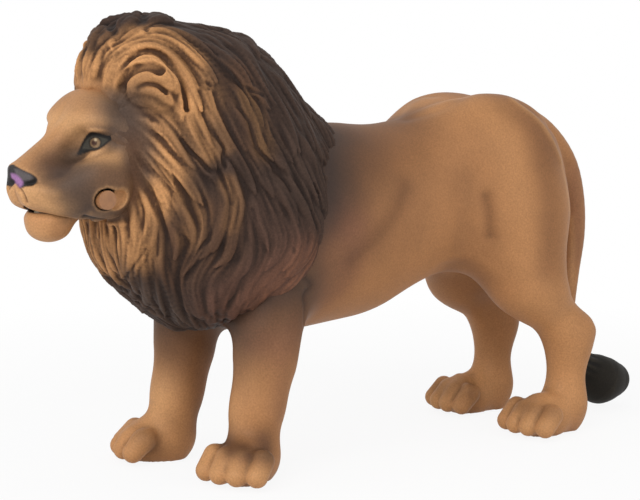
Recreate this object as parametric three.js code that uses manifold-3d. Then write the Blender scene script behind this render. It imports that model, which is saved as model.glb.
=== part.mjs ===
// Toy male lion with a hinged lower jaw, built from soft vinyl castings.
// Millimetres, +Z up. The lion faces -Y, its left side is +X, and its paws stand on Z = 0.
import * as THREE from 'three';
import Module from 'manifold-3d';
import { edgeTable, triTable } from 'three/addons/objects/MarchingCubes.js';
import { mergeVertices } from 'three/addons/utils/BufferGeometryUtils.js';

const wasm = await Module();
wasm.setup();

// Body sizes
const wheelbase = 118;        // centre of the fore paws to centre of the hind paws
const backHeight = 104;       // soles to the top of the loin
const bodyWidth = 50;         // across the ribs
const foreStance = 34;        // centre of a left paw to centre of the right one
const hindStance = 40;
const foreStep = 3.5;         // how far the left fore paw stands behind the middle of the pair
const hindStep = -1.4;
const bodyMelt = 14;          // width over which the muscles of the trunk flow together
const legMelt = 9;

// Leg and paw sizes
const shoulderGirth = 25;
const elbowGirth = 15.6;
const wristGirth = 11.8;
const thighGirth = 26;
const kneeGirth = 18;
const hockGirth = 14.6;
const shankGirth = 13.4;
const foreLean = 8;           // how far the foreleg stands behind the middle of its paw
const hindLean = 9.4;
const pawLength = 29;
const pawWidth = 19;
const pawHeight = 15.8;
const foreTurn = 13;          // degrees that the fore paws point outwards
const hindTurn = 5;
const toeWidth = 6;
const toeCount = 4;
const soleFlat = 1.4;         // how much of each paw's round underside is cut flat

// Head sizes, measured from the hinge of the jaw
const hingeAhead = 37.8;      // hinge line ahead of the fore paws' centres
const hingeHeight = 82.5;
const faceLength = 18.2;      // hinge line to the tip of the nose
const headWidth = 35;
const headHeight = 42;        // chin to the top of the skull
const muzzleWidth = 23;
const earSize = 17.5;
const earSpread = 40;
const earTurn = 35;           // degrees that each ear's cup turns forwards
const headMelt = 6;

// Mane sizes
const maneWidth = 62;
const maneHeight = 92;
const maneLength = 88;
const maneMelt = 12;

// Jaw, mouth and hinge sizes
const jawWidth = 17;
const jawDepth = 9;
const jawLength = 15.8;       // hinge line to the front of the chin
const jawDrop = 7.9;          // middle of the chin below the hinge line
const armThickness = 4;
const armRadius = 4.2;
const armSpread = 23;         // between the middles of the two hinge arms
const pegDiameter = 5.2;
const pegProud = 0.4;
const boreClearance = 0.4;
const recessDiameter = 6.4;
const recessSlantShare = 0.9;      // how far the cheek recess runs back for each unit outwards
const jawOpening = 26;        // degrees
const jawOverTravel = 2;      // degrees of room past the jaw's stop
const jawClearance = 0.5;
const mouthWidth = 15;
const mouthLength = 15;
const mouthHeight = 6;
const upperToothArch = 11;    // across the row of upper teeth
const lowerToothArch = 8;
const toothLength = 2;
const toothWidth = 1.6;
const gumThickness = 1.6;
const lipThickness = 2.6;     // front of the chin to the lower gum
const tongueWidth = 5.4;
const tongueThickness = 2.2;
const tongueLength = 9;
const palateThickness = 1.8;

// Tail sizes
const tailGirth = 8.4;
const tuftGirth = 14.2;
const tuftLength = 25;
const tuftRise = 2.8;         // lowest point of the tuft above the ground
const tailPegDiameter = 4;
const tailPegLength = 13;

// Casting sizes
const seamGap = 0.3;
const waistPegDiameter = 24;
const waistPegLength = 8;
const hipPegDiameter = 10;
const hipPegLength = 8;
const shoulderPegDiameter = 8;
const shoulderPegLength = 6;
const neckPegDiameter = 14;
const neckPegLength = 10;
const ankleLap = 2;           // how far a paw's finer casting runs up into its leg
const weld = 0.01;            // points of a casting closer than this become one
const overrun = 200;          // how far a cutter runs past what it cuts

// Fineness of the faces on each casting
const bodyFacet = 6;
const pawFacet = 3.3;
const maneFacet = 6.6;
const headFacet = 3.3;
const jawFacet = 2.3;
const tailFacet = 3.2;
const sweepFacet = 2.7;
const mouthFacet = 2;
const tongueFacet = 1.5;

// Derived places
const half = 0.5;
const foreY = -wheelbase * half;
const hindY = wheelbase * half;
const hingeY = foreY - hingeAhead;
const chestSeamShare = -0.29;
const chestSeamY = wheelbase * chestSeamShare;
const shoulderSeamShare = 0.62;
const shoulderSeamZ = backHeight * shoulderSeamShare;
const legSeamShare = 0.39;
const foreSeamX = bodyWidth * half * legSeamShare;
const breastSeamShare = 0.39;
const breastSeamZ = backHeight * breastSeamShare;
const hindSeamShare = 0.485;
const hindSeamZ = backHeight * hindSeamShare;
const ankleShare = 0.2;
const ankleZ = backHeight * ankleShare;
const groinShare = 0.27;
const groinY = wheelbase * groinShare;

// A lump is a function of a point that gives the distance to the lump's skin, negative inside.
function egg(centre, halves) {
  const [cx, cy, cz] = centre;
  const [hx, hy, hz] = halves;
  return (x, y, z) => {
    const dx = x - cx;
    const dy = y - cy;
    const dz = z - cz;
    const reach = Math.hypot(dx / hx, dy / hy, dz / hz);
    const slope = Math.hypot(dx / (hx * hx), dy / (hy * hy), dz / (hz * hz));
    return slope > 0 ? reach * (reach - 1) / slope : -Math.min(hx, hy, hz);
  };
}

// A bone is a round bar that tapers from one girth to another.
function bone(from, fromRadius, to, toRadius) {
  const line = new THREE.Vector3(...to).sub(new THREE.Vector3(...from));
  const square = line.lengthSq();
  const taper = fromRadius - toRadius;
  return (x, y, z) => {
    const dx = x - from[0];
    const dy = y - from[1];
    const dz = z - from[2];
    const along = (dx * line.x + dy * line.y + dz * line.z) / square;
    const share = Math.min(1, Math.max(0, along));
    const off = Math.hypot(dx - line.x * share, dy - line.y * share, dz - line.z * share);
    return off - (fromRadius - taper * share);
  };
}

function melt(width, ...lumps) {
  return (x, y, z) => lumps.map((lump) => lump(x, y, z)).reduce((near, next) => {
    const overlap = Math.max(width - Math.abs(near - next), 0) / width;
    return Math.min(near, next) - overlap * overlap * width / 4;
  });
}

const joined = (...lumps) => (x, y, z) => Math.min(...lumps.map((lump) => lump(x, y, z)));
const pair = (lump) => (x, y, z) => lump(Math.abs(x), y, z);
const without = (one, other) => (x, y, z) => Math.max(one(x, y, z), -other(x, y, z));

// Turns a lump clockwise, seen from above, about an upright line through a point
function turned(lump, [px, py], degrees) {
  const angle = THREE.MathUtils.degToRad(degrees);
  const [cos, sin] = [Math.cos(angle), Math.sin(angle)];
  return (x, y, z) => {
    const dx = x - px;
    const dy = y - py;
    return lump(px + dx * cos - dy * sin, py + dx * sin + dy * cos, z);
  };
}

// The faces of a lump are found on a grid of cubes that fills the box between two corners.
// The outside of the box counts as empty, so that every skin is closed. A crossing near a corner
// of a cube is moved to that corner, which leaves fewer faces, and then onto the lump's skin.
function skinOf(lump, facet, low, high) {
  const counts = low.map((value, axis) => Math.ceil((high[axis] - value) / facet) + 1);
  const [nx, ny, nz] = counts;
  const values = new Float32Array(nx * ny * nz);
  const place = (i, j, k) => [low[0] + i * facet, low[1] + j * facet, low[2] + k * facet];
  const index = (i, j, k) => i + nx * (j + ny * k);
  const leastShare = 0.02;
  const snapShare = 0.28;
  const least = facet * leastShare;
  for (let k = 0; k < nz; k += 1) {
    for (let j = 0; j < ny; j += 1) {
      for (let i = 0; i < nx; i += 1) {
        const edge = [i, j, k].some((at, axis) => at === 0 || at === counts[axis] - 1);
        const value = edge ? Math.max(lump(...place(i, j, k)), least) : lump(...place(i, j, k));
        values[index(i, j, k)] = Math.abs(value) < least ? (value < 0 ? -least : least) : value;
      }
    }
  }
  const corners = [[0, 0, 0], [1, 0, 0], [1, 1, 0], [0, 1, 0], [0, 0, 1], [1, 0, 1], [1, 1, 1], [0, 1, 1]];
  const flatEdges = [[0, 1], [1, 2], [2, 3], [3, 0], [4, 5], [5, 6], [6, 7], [7, 4]];
  const edges = [...flatEdges, [0, 4], [1, 5], [2, 6], [3, 7]];
  const points = [];
  const triangles = [];
  const known = new Map();
  const pointOf = (key, point) => {
    if (!known.has(key)) {
      known.set(key, points.length);
      points.push(point);
    }
    return known.get(key);
  };
  const crossing = (first, second) => {
    const a = index(...first);
    const b = index(...second);
    const share = values[a] / (values[a] - values[b]);
    const from = new THREE.Vector3(...place(...first));
    const to = new THREE.Vector3(...place(...second));
    if (share < snapShare) return pointOf(a, from);
    if (share > 1 - snapShare) return pointOf(b, to);
    return pointOf((Math.min(a, b) + 1) * values.length + Math.max(a, b), from.lerp(to, share));
  };
  for (let k = 0; k < nz - 1; k += 1) {
    for (let j = 0; j < ny - 1; j += 1) {
      for (let i = 0; i < nx - 1; i += 1) {
        const cell = corners.map(([di, dj, dk]) => [i + di, j + dj, k + dk]);
        const inside = cell.reduce((bits, at, bit) => bits | (values[index(...at)] < 0 ? 1 << bit : 0), 0);
        if (edgeTable[inside] === 0) continue;
        for (let at = inside * 16; triTable[at] !== -1; at += 3) {
          const face = [2, 1, 0].map((step) => edges[triTable[at + step]]);
          const [a, b, c] = face.map(([one, other]) => crossing(cell[one], cell[other]));
          if (a !== b && b !== c && c !== a) triangles.push([a, b, c]);
        }
      }
    }
  }
  const drawCount = 3;
  for (let draw = 0; draw < drawCount; draw += 1) {
    points.forEach((point) => {
      point.addScaledVector(slopeOf(lump, point, facet), -lump(point.x, point.y, point.z));
    });
  }
  return { points, triangles, outward: points.map((point) => slopeOf(lump, point, facet)) };
}

// The outward direction of a lump's skin at a point
function slopeOf(lump, { x, y, z }, facet) {
  const stepShare = 0.05;
  const step = facet * stepShare;
  return new THREE.Vector3(
    lump(x + step, y, z) - lump(x - step, y, z),
    lump(x, y + step, z) - lump(x, y - step, z),
    lump(x, y, z + step) - lump(x, y, z - step),
  ).normalize();
}

// A skin becomes a solid, moved outwards where another piece needs room round it.
function solidOf(skin, outwards = 0) {
  const moved = skin.points.map((point, at) => point.clone().addScaledVector(skin.outward[at], outwards));
  return new wasm.Manifold(new wasm.Mesh({
    numProp: 3,
    vertProperties: new Float32Array(moved.flatMap((point) => point.toArray())),
    triVerts: new Uint32Array(skin.triangles.flat()),
  }));
}

function solidFrom(geometry) {
  const bare = geometry.clone();
  bare.deleteAttribute('normal');
  bare.deleteAttribute('uv');
  const merged = mergeVertices(bare, weld);
  return new wasm.Manifold(new wasm.Mesh({
    numProp: 3,
    vertProperties: new Float32Array(merged.attributes.position.array),
    triVerts: new Uint32Array(merged.index.array),
  }));
}

function block({ x = [-overrun, overrun], y = [-overrun, overrun], z = [-overrun, overrun] }) {
  const size = [x, y, z].map(([low, high]) => high - low);
  const middle = [x, y, z].map(([low, high]) => (low + high) * half);
  return solidFrom(new THREE.BoxGeometry(...size).translate(...middle));
}

// A round bar between two points
const roundSideCount = 24;
const slimSideCount = 12;
function bar(from, to, diameter, sideCount = roundSideCount) {
  const start = new THREE.Vector3(...from);
  const line = new THREE.Vector3(...to).sub(start);
  const geometry = new THREE.CylinderGeometry(diameter * half, diameter * half, line.length(), sideCount);
  geometry.translate(0, line.length() * half, 0);
  const up = new THREE.Vector3(0, 1, 0);
  const turn = new THREE.Quaternion().setFromUnitVectors(up, line.clone().normalize());
  geometry.applyQuaternion(turn).translate(...from);
  return solidFrom(geometry);
}

// Places and half sizes on the body are shares of its width, its wheelbase and its back height.
const onBody = ([across, along, up]) => [across * bodyWidth * half, along * wheelbase, up * backHeight];
const bodyEgg = (placeShares, halfShares) => egg(onBody(placeShares), onBody(halfShares));

function trunkLump() {
  const chestShares = [[0, -0.34, 0.67], [0.9, 0.24, 0.285]];
  const barrelShares = [[0, -0.11, 0.68], [0.96, 0.33, 0.298]];
  const loinShares = [[0, 0.26, 0.755], [0.82, 0.27, 0.245]];
  const rumpShares = [[0, 0.515, 0.75], [0.46, 0.17, 0.22]];
  const hipShares = [[0.42, 0.35, 0.925], [0.34, 0.13, 0.1]];
  const withersShares = [[0, -0.3, 0.82], [0.6, 0.2, 0.15]];
  const haunchShares = [[0.5, 0.435, 0.69], [0.48, 0.145, 0.27]];
  const neckShares = [[0, -0.42, 0.76], [0, -0.7, 0.9]];
  const neckGirthShare = 0.8;
  const throatGirthShare = 0.6;
  const [neckFrom, neckTo] = neckShares.map(onBody);
  return melt(
    bodyMelt,
    bodyEgg(...chestShares),
    bodyEgg(...barrelShares),
    bodyEgg(...loinShares),
    bodyEgg(...rumpShares),
    bodyEgg(...withersShares),
    pair(bodyEgg(...hipShares)),
    pair(bodyEgg(...haunchShares)),
    bone(neckFrom, bodyWidth * half * neckGirthShare, neckTo, bodyWidth * half * throatGirthShare),
  );
}

// A paw is a pad with four toes in front, on the ground line.
function pawLump(centreX, centreY, lean, turn) {
  const toeReachShare = 0.31;
  const toeFanShare = 0.24;
  const toeBackShare = 0.035;
  const padShares = [0.42, 0.44, 0.5];
  const toeShares = [0.5, 0.2, 0.4];
  const padUp = pawHeight * padShares[2] - soleFlat;
  const pad = egg(
    [centreX, centreY, padUp],
    [pawWidth * padShares[0], pawLength * padShares[1], pawHeight * padShares[2]],
  );
  const toes = Array.from({ length: toeCount }, (_, number) => {
    const side = number - (toeCount - 1) * half;
    const back = side * side * toeBackShare * pawLength;
    return egg(
      [centreX + side * toeFanShare * pawWidth, centreY - pawLength * toeReachShare + back, padUp],
      [toeWidth * toeShares[0], pawLength * toeShares[1], pawHeight * toeShares[2]],
    );
  });
  const toeMelt = toeWidth * half;
  return turned(melt(toeMelt, pad, ...toes), [centreX, centreY + lean], turn);
}

// Side is 1 for the lion's left and -1 for its right.
function foreLegLump(side) {
  const centreX = side * foreStance * half;
  const pawY = foreY + side * foreStep;
  const shoulderShares = [0.56, -0.38, 0.66];
  const elbowUpShare = 0.42;
  const wristUpShare = 0.19;
  const ankleUpShare = 0.09;
  const wristLeanShare = 0.75;
  const [shoulderX, shoulderY, shoulderZ] = onBody(shoulderShares);
  const shoulder = [side * shoulderX, shoulderY + side * foreStep, shoulderZ];
  const elbow = [centreX, pawY + foreLean, backHeight * elbowUpShare];
  const wrist = [centreX, pawY + foreLean * wristLeanShare, backHeight * wristUpShare];
  const ankle = [centreX, pawY + foreLean * half, backHeight * ankleUpShare];
  return melt(
    legMelt,
    bone(shoulder, shoulderGirth * half, elbow, elbowGirth * half),
    bone(elbow, elbowGirth * half, wrist, wristGirth * half),
    bone(wrist, wristGirth * half, ankle, wristGirth * half),
    pawLump(centreX, pawY, foreLean, -side * foreTurn),
  );
}

const kneeShares = [0.72, 0.45, 0.46];
function hindLegLump(side) {
  const centreX = side * hindStance * half;
  const pawY = hindY + side * hindStep;
  const hipShares = [0.5, 0.45, 0.66];
  const hockUpShare = 0.29;
  const heelUpShare = 0.1;
  const heelLeanShare = 0.8;
  const [hipX, hipY, hipZ] = onBody(hipShares);
  const [kneeX, kneeY, kneeZ] = onBody(kneeShares);
  const hip = [side * hipX, hipY, hipZ];
  const knee = [side * kneeX, kneeY, kneeZ];
  const hock = [centreX, pawY + hindLean, backHeight * hockUpShare];
  const heel = [centreX, pawY + hindLean * heelLeanShare, backHeight * heelUpShare];
  return melt(
    legMelt,
    bone(hip, thighGirth * half, knee, kneeGirth * half),
    bone(knee, kneeGirth * half, hock, hockGirth * half),
    bone(hock, hockGirth * half, heel, shankGirth * half),
    pawLump(centreX, pawY, hindLean, -side * hindTurn),
  );
}

// Places on the head are shares of its width, the face's length and the head's height,
// measured from the middle of the hinge line.
function onHead([across, ahead, up]) {
  return [across * headWidth * half, hingeY - ahead * faceLength, hingeHeight + up * headHeight];
}
function headEgg(placeShares, [wide, long, high]) {
  return egg(onHead(placeShares), [wide * headWidth * half, long * faceLength, high * headHeight]);
}

function headLump() {
  const skullShares = [[0, -0.56, 0.37], [0.95, 0.72, 0.33]];
  const browShares = [[0.42, -0.12, 0.5], [0.36, 0.3, 0.1]];
  const cheekShares = [[0.55, -0.1, 0.06], [0.46, 0.55, 0.27]];
  const bridgeShares = [[0, 0.12, 0.33], [0, 0.72, 0.12]];
  const lipShares = [[0.3, 0.58, 0.02], [0.36, 0.38, 0.11]];
  const noseShares = [[0, 0.86, 0.14], [0.24, 0.14, 0.075]];
  const bridgeGirthShares = [0.62, 0.4];
  const [bridgeFrom, bridgeTo] = bridgeShares.map(onHead);
  const [bridgeBack, bridgeFront] = bridgeGirthShares.map((share) => share * muzzleWidth * half);
  return melt(
    headMelt,
    headEgg(...skullShares),
    pair(headEgg(...browShares)),
    pair(headEgg(...cheekShares)),
    bone(bridgeFrom, bridgeBack, bridgeTo, bridgeFront),
    pair(headEgg(...lipShares)),
    headEgg(...noseShares),
    pair(earLump()),
  );
}

function earLump() {
  const earShares = [0.7, 0.69];
  const rimShares = [0.3, 0.5, 0.5];
  const dishShares = [0.28, 0.38, 0.38];
  const dishOut = earSize * dishShares[0];
  const [, earY, earZ] = onHead([0, -earShares[0], earShares[1]]);
  const earX = earSpread * half;
  const ear = without(
    egg([earX, earY, earZ], rimShares.map((share) => share * earSize)),
    egg([earX + dishOut, earY, earZ], dishShares.map((share) => share * earSize)),
  );
  return turned(ear, [earX, earY], earTurn);
}

// Places on the mane are shares of its width, length and height, from the withers' end of its base.
// That end lies a share of the mane's length behind the hinge line.
const maneRearShare = 0.986;
const maneBaseShare = 0.395;
function onMane([across, ahead, up]) {
  const rear = hingeY + maneLength * maneRearShare;
  const base = backHeight * maneBaseShare;
  return [across * maneWidth * half, rear - ahead * maneLength, base + up * maneHeight];
}
function maneEgg(placeShares, [wide, long, high]) {
  return egg(onMane(placeShares), [wide * maneWidth * half, long * maneLength, high * maneHeight]);
}

function maneLump() {
  const crownShares = [[0, 0.745, 0.73], [0.65, 0.21, 0.27]];
  const napeShares = [[0, 0.5, 0.64], [0.8, 0.295, 0.315]];
  const withersShares = [[0, 0.27, 0.56], [0.6, 0.25, 0.162]];
  const flankShares = [[0.64, 0.37, 0.41], [0.34, 0.14, 0.23]];
  const sideShares = [[0.32, 0.585, 0.46], [0.66, 0.305, 0.36]];
  const shoulderShares = [[0.52, 0.48, 0.3], [0.44, 0.2, 0.2]];
  const breastShares = [[0, 0.64, 0.23], [0.66, 0.2, 0.23]];
  const beardShares = [[0, 0.82, 0.34], [0.48, 0.13, 0.16]];
  return melt(
    maneMelt,
    maneEgg(...crownShares),
    maneEgg(...napeShares),
    maneEgg(...withersShares),
    pair(maneEgg(...sideShares)),
    pair(maneEgg(...flankShares)),
    pair(maneEgg(...shoulderShares)),
    maneEgg(...breastShares),
    maneEgg(...beardShares),
  );
}

// The jaw is a chin with two bars that run back to the hinge arms.
const armX = armSpread * half;
const chinShares = [0.5, 0.49, 0.5];
const chinY = hingeY - jawLength * (1 - chinShares[1]);
const chinZ = hingeHeight - jawDrop;

function jawLump() {
  const barShares = [0.3, 0.3];
  const chinHalves = [jawWidth, jawLength, jawDepth].map((size, at) => size * chinShares[at]);
  const chin = egg([0, chinY, chinZ], chinHalves);
  const barFront = [jawWidth * barShares[0], chinY, chinZ];
  const armEnd = [armX, hingeY, hingeHeight];
  return melt(
    jawDepth * half,
    chin,
    pair(bone(barFront, jawDepth * barShares[1], armEnd, armThickness * half)),
  );
}

// The space that the jaw sweeps as it opens, with room all round
function sweepOf(lump, room) {
  const turnCount = 7;
  const turns = Array.from({ length: turnCount }, (_, step) => {
    const angle = THREE.MathUtils.degToRad((jawOpening + jawOverTravel) * step / (turnCount - 1));
    return [Math.cos(angle), Math.sin(angle)];
  });
  return (x, y, z) => Math.min(...turns.map(([cos, sin]) => {
    const dy = y - hingeY;
    const dz = z - hingeHeight;
    return lump(x, hingeY + dy * cos + dz * sin, hingeHeight + dz * cos - dy * sin);
  })) - room;
}

// The mouth is a low round space over the chin, and the palate lines its roof.
const mouthUpShare = 0.25;
const mouthZ = chinZ + jawDepth * half + mouthHeight * mouthUpShare;
const mouthLump = egg([0, chinY, mouthZ], [mouthWidth * half, mouthLength * half, mouthHeight * half]);

const upperGumShare = 0.1;
const lowerGumShare = 1.4;
const upperRow = {
  arch: upperToothArch,
  frontY: hingeY - jawLength + lipThickness,
  gumZ: mouthZ + mouthHeight * upperGumShare,
  pointing: -1,
};
const lowerRow = {
  arch: lowerToothArch,
  frontY: hingeY - jawLength + lipThickness * lowerGumShare,
  gumZ: chinZ + jawDepth * half - gumThickness * half,
  pointing: 1,
};

// The tongue lies behind the lower row.
function tongueLump() {
  const sinkShare = 0.4;
  const tongueY = lowerRow.frontY + gumThickness + tongueLength * half;
  const tongueZ = mouthZ - mouthHeight * half + tongueThickness * sinkShare;
  return egg([0, tongueY, tongueZ], [tongueWidth * half, tongueLength * half, tongueThickness * half]);
}

function tailLump() {
  const girthShares = [0.72, 0.58, 0.52, 0.5, 0.48, 0.44, 0.4, 0.34, 0.26];
  const placeShares = [
    [0, 0.5, 0.965], [0, 0.615, 0.91], [0, 0.695, 0.82], [0, 0.73, 0.71], [0, 0.735, 0.6],
    [0, 0.715, 0.46], [0, 0.7, 0.32], [0, 0.735, 0.2], [0, 0.79, 0.145],
  ];
  const places = placeShares.map(onBody);
  const bones = places.slice(1).map((place, at) => bone(
    places[at],
    tailGirth * girthShares[at],
    place,
    tailGirth * girthShares[at + 1],
  ));
  return joined(...bones);
}

function tuftLump() {
  const startShares = [0, 0.765, 0.165];
  const swellShare = 0.42;
  const slimShares = [0.62, 0.88];
  const droopShare = 0.1;
  const fullRadius = tuftGirth * half;
  const start = onBody(startShares);
  const middle = [0, start[1] + tuftLength * swellShare, fullRadius + tuftRise];
  const end = [0, start[1] + tuftLength - fullRadius, middle[2] - fullRadius * droopShare];
  return melt(
    fullRadius,
    bone(start, fullRadius * slimShares[0], middle, fullRadius),
    bone(middle, fullRadius, end, fullRadius * slimShares[1]),
  );
}

// A rod follows a smooth curve through its points.
function rod(points, diameter, sideCount = 6) {
  const curve = new THREE.CatmullRomCurve3(points.map((point) => new THREE.Vector3(...point)));
  const section = new THREE.Shape();
  section.absarc(0, 0, diameter * half, 0, Math.PI * 2);
  const settings = {
    extrudePath: curve,
    steps: points.length,
    curveSegments: sideCount,
    bevelEnabled: false,
  };
  return solidFrom(new THREE.ExtrudeGeometry(section, settings));
}

// A tooth is a small cone that stands on its gum.
function tooth([x, y, z], height, room) {
  const reach = Math.abs(height) + room;
  const sideCount = 6;
  const geometry = new THREE.ConeGeometry(toothWidth * half + room, reach, sideCount);
  geometry.rotateX(Math.PI * half * Math.sign(height)).translate(0, 0, reach * half * Math.sign(height));
  return solidFrom(geometry.translate(x, y, z));
}

// A row of teeth: a bent gum with a canine on each side and small incisors between them
function teethSolid({ arch, frontY, gumZ, pointing }, room = 0) {
  const stationCount = 7;
  const archLengthShare = 0.75;
  const incisorShare = 0.6;
  const places = Array.from({ length: stationCount }, (_, number) => {
    const angle = Math.PI * number / (stationCount - 1);
    return [Math.cos(angle) * arch * half, frontY + (1 - Math.sin(angle)) * arch * archLengthShare, gumZ];
  });
  const canines = [places[1], places[stationCount - 2]];
  const incisors = places.slice(2, stationCount - 2);
  const canineHeight = pointing * (gumThickness * half + toothLength);
  const incisorHeight = pointing * (gumThickness * half + toothLength * incisorShare);
  const teeth = [
    ...canines.map((place) => tooth(place, canineHeight, room)),
    ...incisors.map((place) => tooth(place, incisorHeight, room)),
  ];
  return teeth.reduce((row, one) => row.add(one), rod(places, gumThickness + room * 2));
}

// Thin edges can shed crumbs when one casting is cut from another, and only the casting is kept.
function castingOf(solid) {
  const geometry = new THREE.BufferGeometry();
  const { vertProperties, triVerts } = solid.getMesh();
  geometry.setAttribute('position', new THREE.BufferAttribute(vertProperties, 3));
  geometry.setIndex(new THREE.BufferAttribute(triVerts, 1));
  const bodies = solidFrom(geometry).decompose();
  const largest = bodies.reduce((most, next) => (next.volume() > most.volume() ? next : most));
  return bodies.length > 1 ? castingOf(largest) : largest;
}

const sides = [1, -1];
const animal = melt(
  legMelt,
  trunkLump(),
  ...sides.map(foreLegLump),
  ...sides.map(hindLegLump),
);
const head = headLump();
const jaw = jawLump();
const tail = tailLump();

// Corners of the boxes that hold the lumps
const margin = 8;
const bodyLow = [-bodyWidth, hingeY - margin, -margin];
const bodyHigh = [bodyWidth, hindY + pawLength + margin, backHeight + margin];
const maneLow = [-maneWidth * half - margin, onMane([0, 1, 0])[1] - margin, onMane([0, 0, 0])[2] - margin];
const maneHigh = [maneWidth * half + margin, onMane([0, 0, 0])[1] + margin, onMane([0, 0, 1])[2] + margin];
const headLow = [-earSpread, hingeY - faceLength - margin, hingeHeight - headHeight * half];
const headHigh = [earSpread, hingeY + headHeight, hingeHeight + headHeight + margin];
const jawLow = [-armSpread, hingeY - jawLength - margin, hingeHeight - jawDrop - jawDepth - margin];
const jawHigh = [armSpread, hingeY + margin, hingeHeight + margin];
const sweepLow = [jawLow[0], jawLow[1], jawLow[2] - margin];
const tailLow = [-tuftGirth, hindY - margin, -margin];
const tailHigh = [tuftGirth, hindY + wheelbase * half + margin, backHeight + margin];

const bodySkin = skinOf(animal, bodyFacet, bodyLow, bodyHigh);
const pawSkin = skinOf(animal, pawFacet, bodyLow, [bodyHigh[0], bodyHigh[1], ankleZ + margin]);
const maneSkin = skinOf(maneLump(), maneFacet, maneLow, maneHigh);
const headSkin = skinOf(head, headFacet, headLow, headHigh);
const jawSkin = skinOf(jaw, jawFacet, jawLow, jawHigh);
const sweepSkin = skinOf(sweepOf(jaw, jawClearance), sweepFacet, sweepLow, jawHigh);
const mouthSkin = skinOf(mouthLump, mouthFacet, jawLow, jawHigh);
const tongueSkin = skinOf(tongueLump(), tongueFacet, jawLow, jawHigh);
const tailSkin = skinOf(tail, tailFacet, tailLow, tailHigh);
const tuftSkin = skinOf(tuftLump(), tailFacet, tailLow, tailHigh);

// Halves of a seam each stand back by half the gap.
const back = seamGap * half;

// Mirrors a range of X for the lion's right side
const sideRange = (side, low, high) => (side > 0 ? [low, high] : [-high, -low]);

function hindLegRoom(side, by) {
  return block({
    x: sideRange(side, -by, overrun),
    y: [groinY, overrun],
    z: [-overrun, hindSeamZ + by],
  });
}

function foreLegRoom(side, by) {
  const behind = chestSeamY + by;
  const shoulder = block({
    x: sideRange(side, foreSeamX - by, overrun),
    y: [-overrun, behind],
    z: [-overrun, shoulderSeamZ + by],
  });
  const leg = block({
    x: sideRange(side, -by, overrun),
    y: [-overrun, behind],
    z: [-overrun, breastSeamZ + by],
  });
  return shoulder.add(leg);
}

const legDrop = (side) => side * foreStep;
function shoulderPeg(side, room = 0) {
  const y = foreY + foreLean + legDrop(side);
  const z = (shoulderSeamZ + breastSeamZ) * half;
  const inner = foreSeamX - shoulderPegLength - room;
  const outer = foreSeamX + shoulderPegLength;
  return bar([side * inner, y, z], [side * outer, y, z], shoulderPegDiameter + room * 2);
}

function tailPeg(room = 0) {
  const rootShares = [0, 0.695, 0.82];
  const root = onBody(rootShares);
  const inner = [0, root[1] - tailPegLength - room, root[2]];
  return bar(root, inner, tailPegDiameter + room * 2, slimSideCount);
}

function neckPeg(room = 0) {
  const neckShares = [[0, -0.6, 0.86], [0, -0.73, 0.91]];
  const [start, end] = neckShares.map(onBody);
  const line = new THREE.Vector3(...end).sub(new THREE.Vector3(...start)).normalize();
  const tip = new THREE.Vector3(...end).addScaledVector(line, neckPegLength * half + room);
  return bar(start, tip.toArray(), neckPegDiameter + room * 2);
}

// The round plugs that hold the castings together stand on the chest and on each hind leg.
function waistPeg(room = 0) {
  const waistUpShare = 0.67;
  const z = backHeight * waistUpShare;
  const start = [0, chestSeamY - waistPegLength, z];
  const end = [0, chestSeamY + waistPegLength + room, z];
  return bar(start, end, waistPegDiameter + room * 2);
}

function hipPeg(side, room = 0) {
  const [kneeX, kneeY, kneeZ] = onBody(kneeShares);
  const start = [side * kneeX, kneeY, kneeZ];
  const end = [side * kneeX, kneeY, hindSeamZ + hipPegLength + room];
  return bar(start, end, hipPegDiameter + room * 2);
}

function rearBody() {
  const whole = solidOf(bodySkin)
    .intersect(block({ y: [chestSeamY + back, overrun] }))
    .subtract(waistPeg(seamGap))
    .subtract(tailPeg(seamGap));
  const open = sides.reduce(
    (body, side) => body.subtract(hindLegRoom(side, back)).subtract(hipPeg(side, seamGap)),
    whole,
  );
  return castingOf(open);
}

function chestBody() {
  const core = solidOf(bodySkin)
    .intersect(block({ y: [-overrun, chestSeamY - back] }))
    .add(waistPeg())
    .subtract(solidOf(headSkin, seamGap));
  const cut = sides.reduce(
    (body, side) => body.subtract(foreLegRoom(side, back)).subtract(shoulderPeg(side, seamGap)),
    core,
  );
  return castingOf(cut).add(neckPeg());
}

// The paws are cut from a finer skin than the legs above them.
function legsSolid() {
  const paws = solidOf(pawSkin).intersect(block({ z: [0, ankleZ + ankleLap] }));
  return solidOf(bodySkin).intersect(block({ z: [ankleZ, overrun] })).add(paws);
}

function foreLeg(side) {
  const leg = legsSolid().intersect(foreLegRoom(side, -back));
  return castingOf(leg.add(shoulderPeg(side)));
}

function hindLeg(side) {
  const leg = legsSolid().intersect(hindLegRoom(side, -back));
  return castingOf(leg.add(hipPeg(side)));
}

function maneCape() {
  return castingOf(solidOf(maneSkin)
    .subtract(solidOf(bodySkin, seamGap))
    .subtract(solidOf(headSkin, seamGap))
    .subtract(solidOf(sweepSkin)));
}

// The palate lines the upper half of the mouth.
function palateRoof(room = 0) {
  return solidOf(mouthSkin, palateThickness + room).intersect(block({ z: [mouthZ - room, overrun] }));
}

const palateLining = () => castingOf(palateRoof().subtract(solidOf(mouthSkin)));

// The distance from the middle of the hinge line out to the cheek's skin
function cheekReach() {
  let inner = 0;
  let outer = headWidth;
  const halvingCount = 40;
  for (let step = 0; step < halvingCount; step += 1) {
    const middle = (inner + outer) * half;
    if (head(middle, hingeY, hingeHeight) < 0) inner = middle;
    else outer = middle;
  }
  return inner;
}

function jawPeg(side, room = 0, from = armX - armThickness * half, to = cheekReach() + pegProud) {
  return bar([side * from, hingeY, hingeHeight], [side * to, hingeY, hingeHeight], pegDiameter + room * 2);
}

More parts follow.
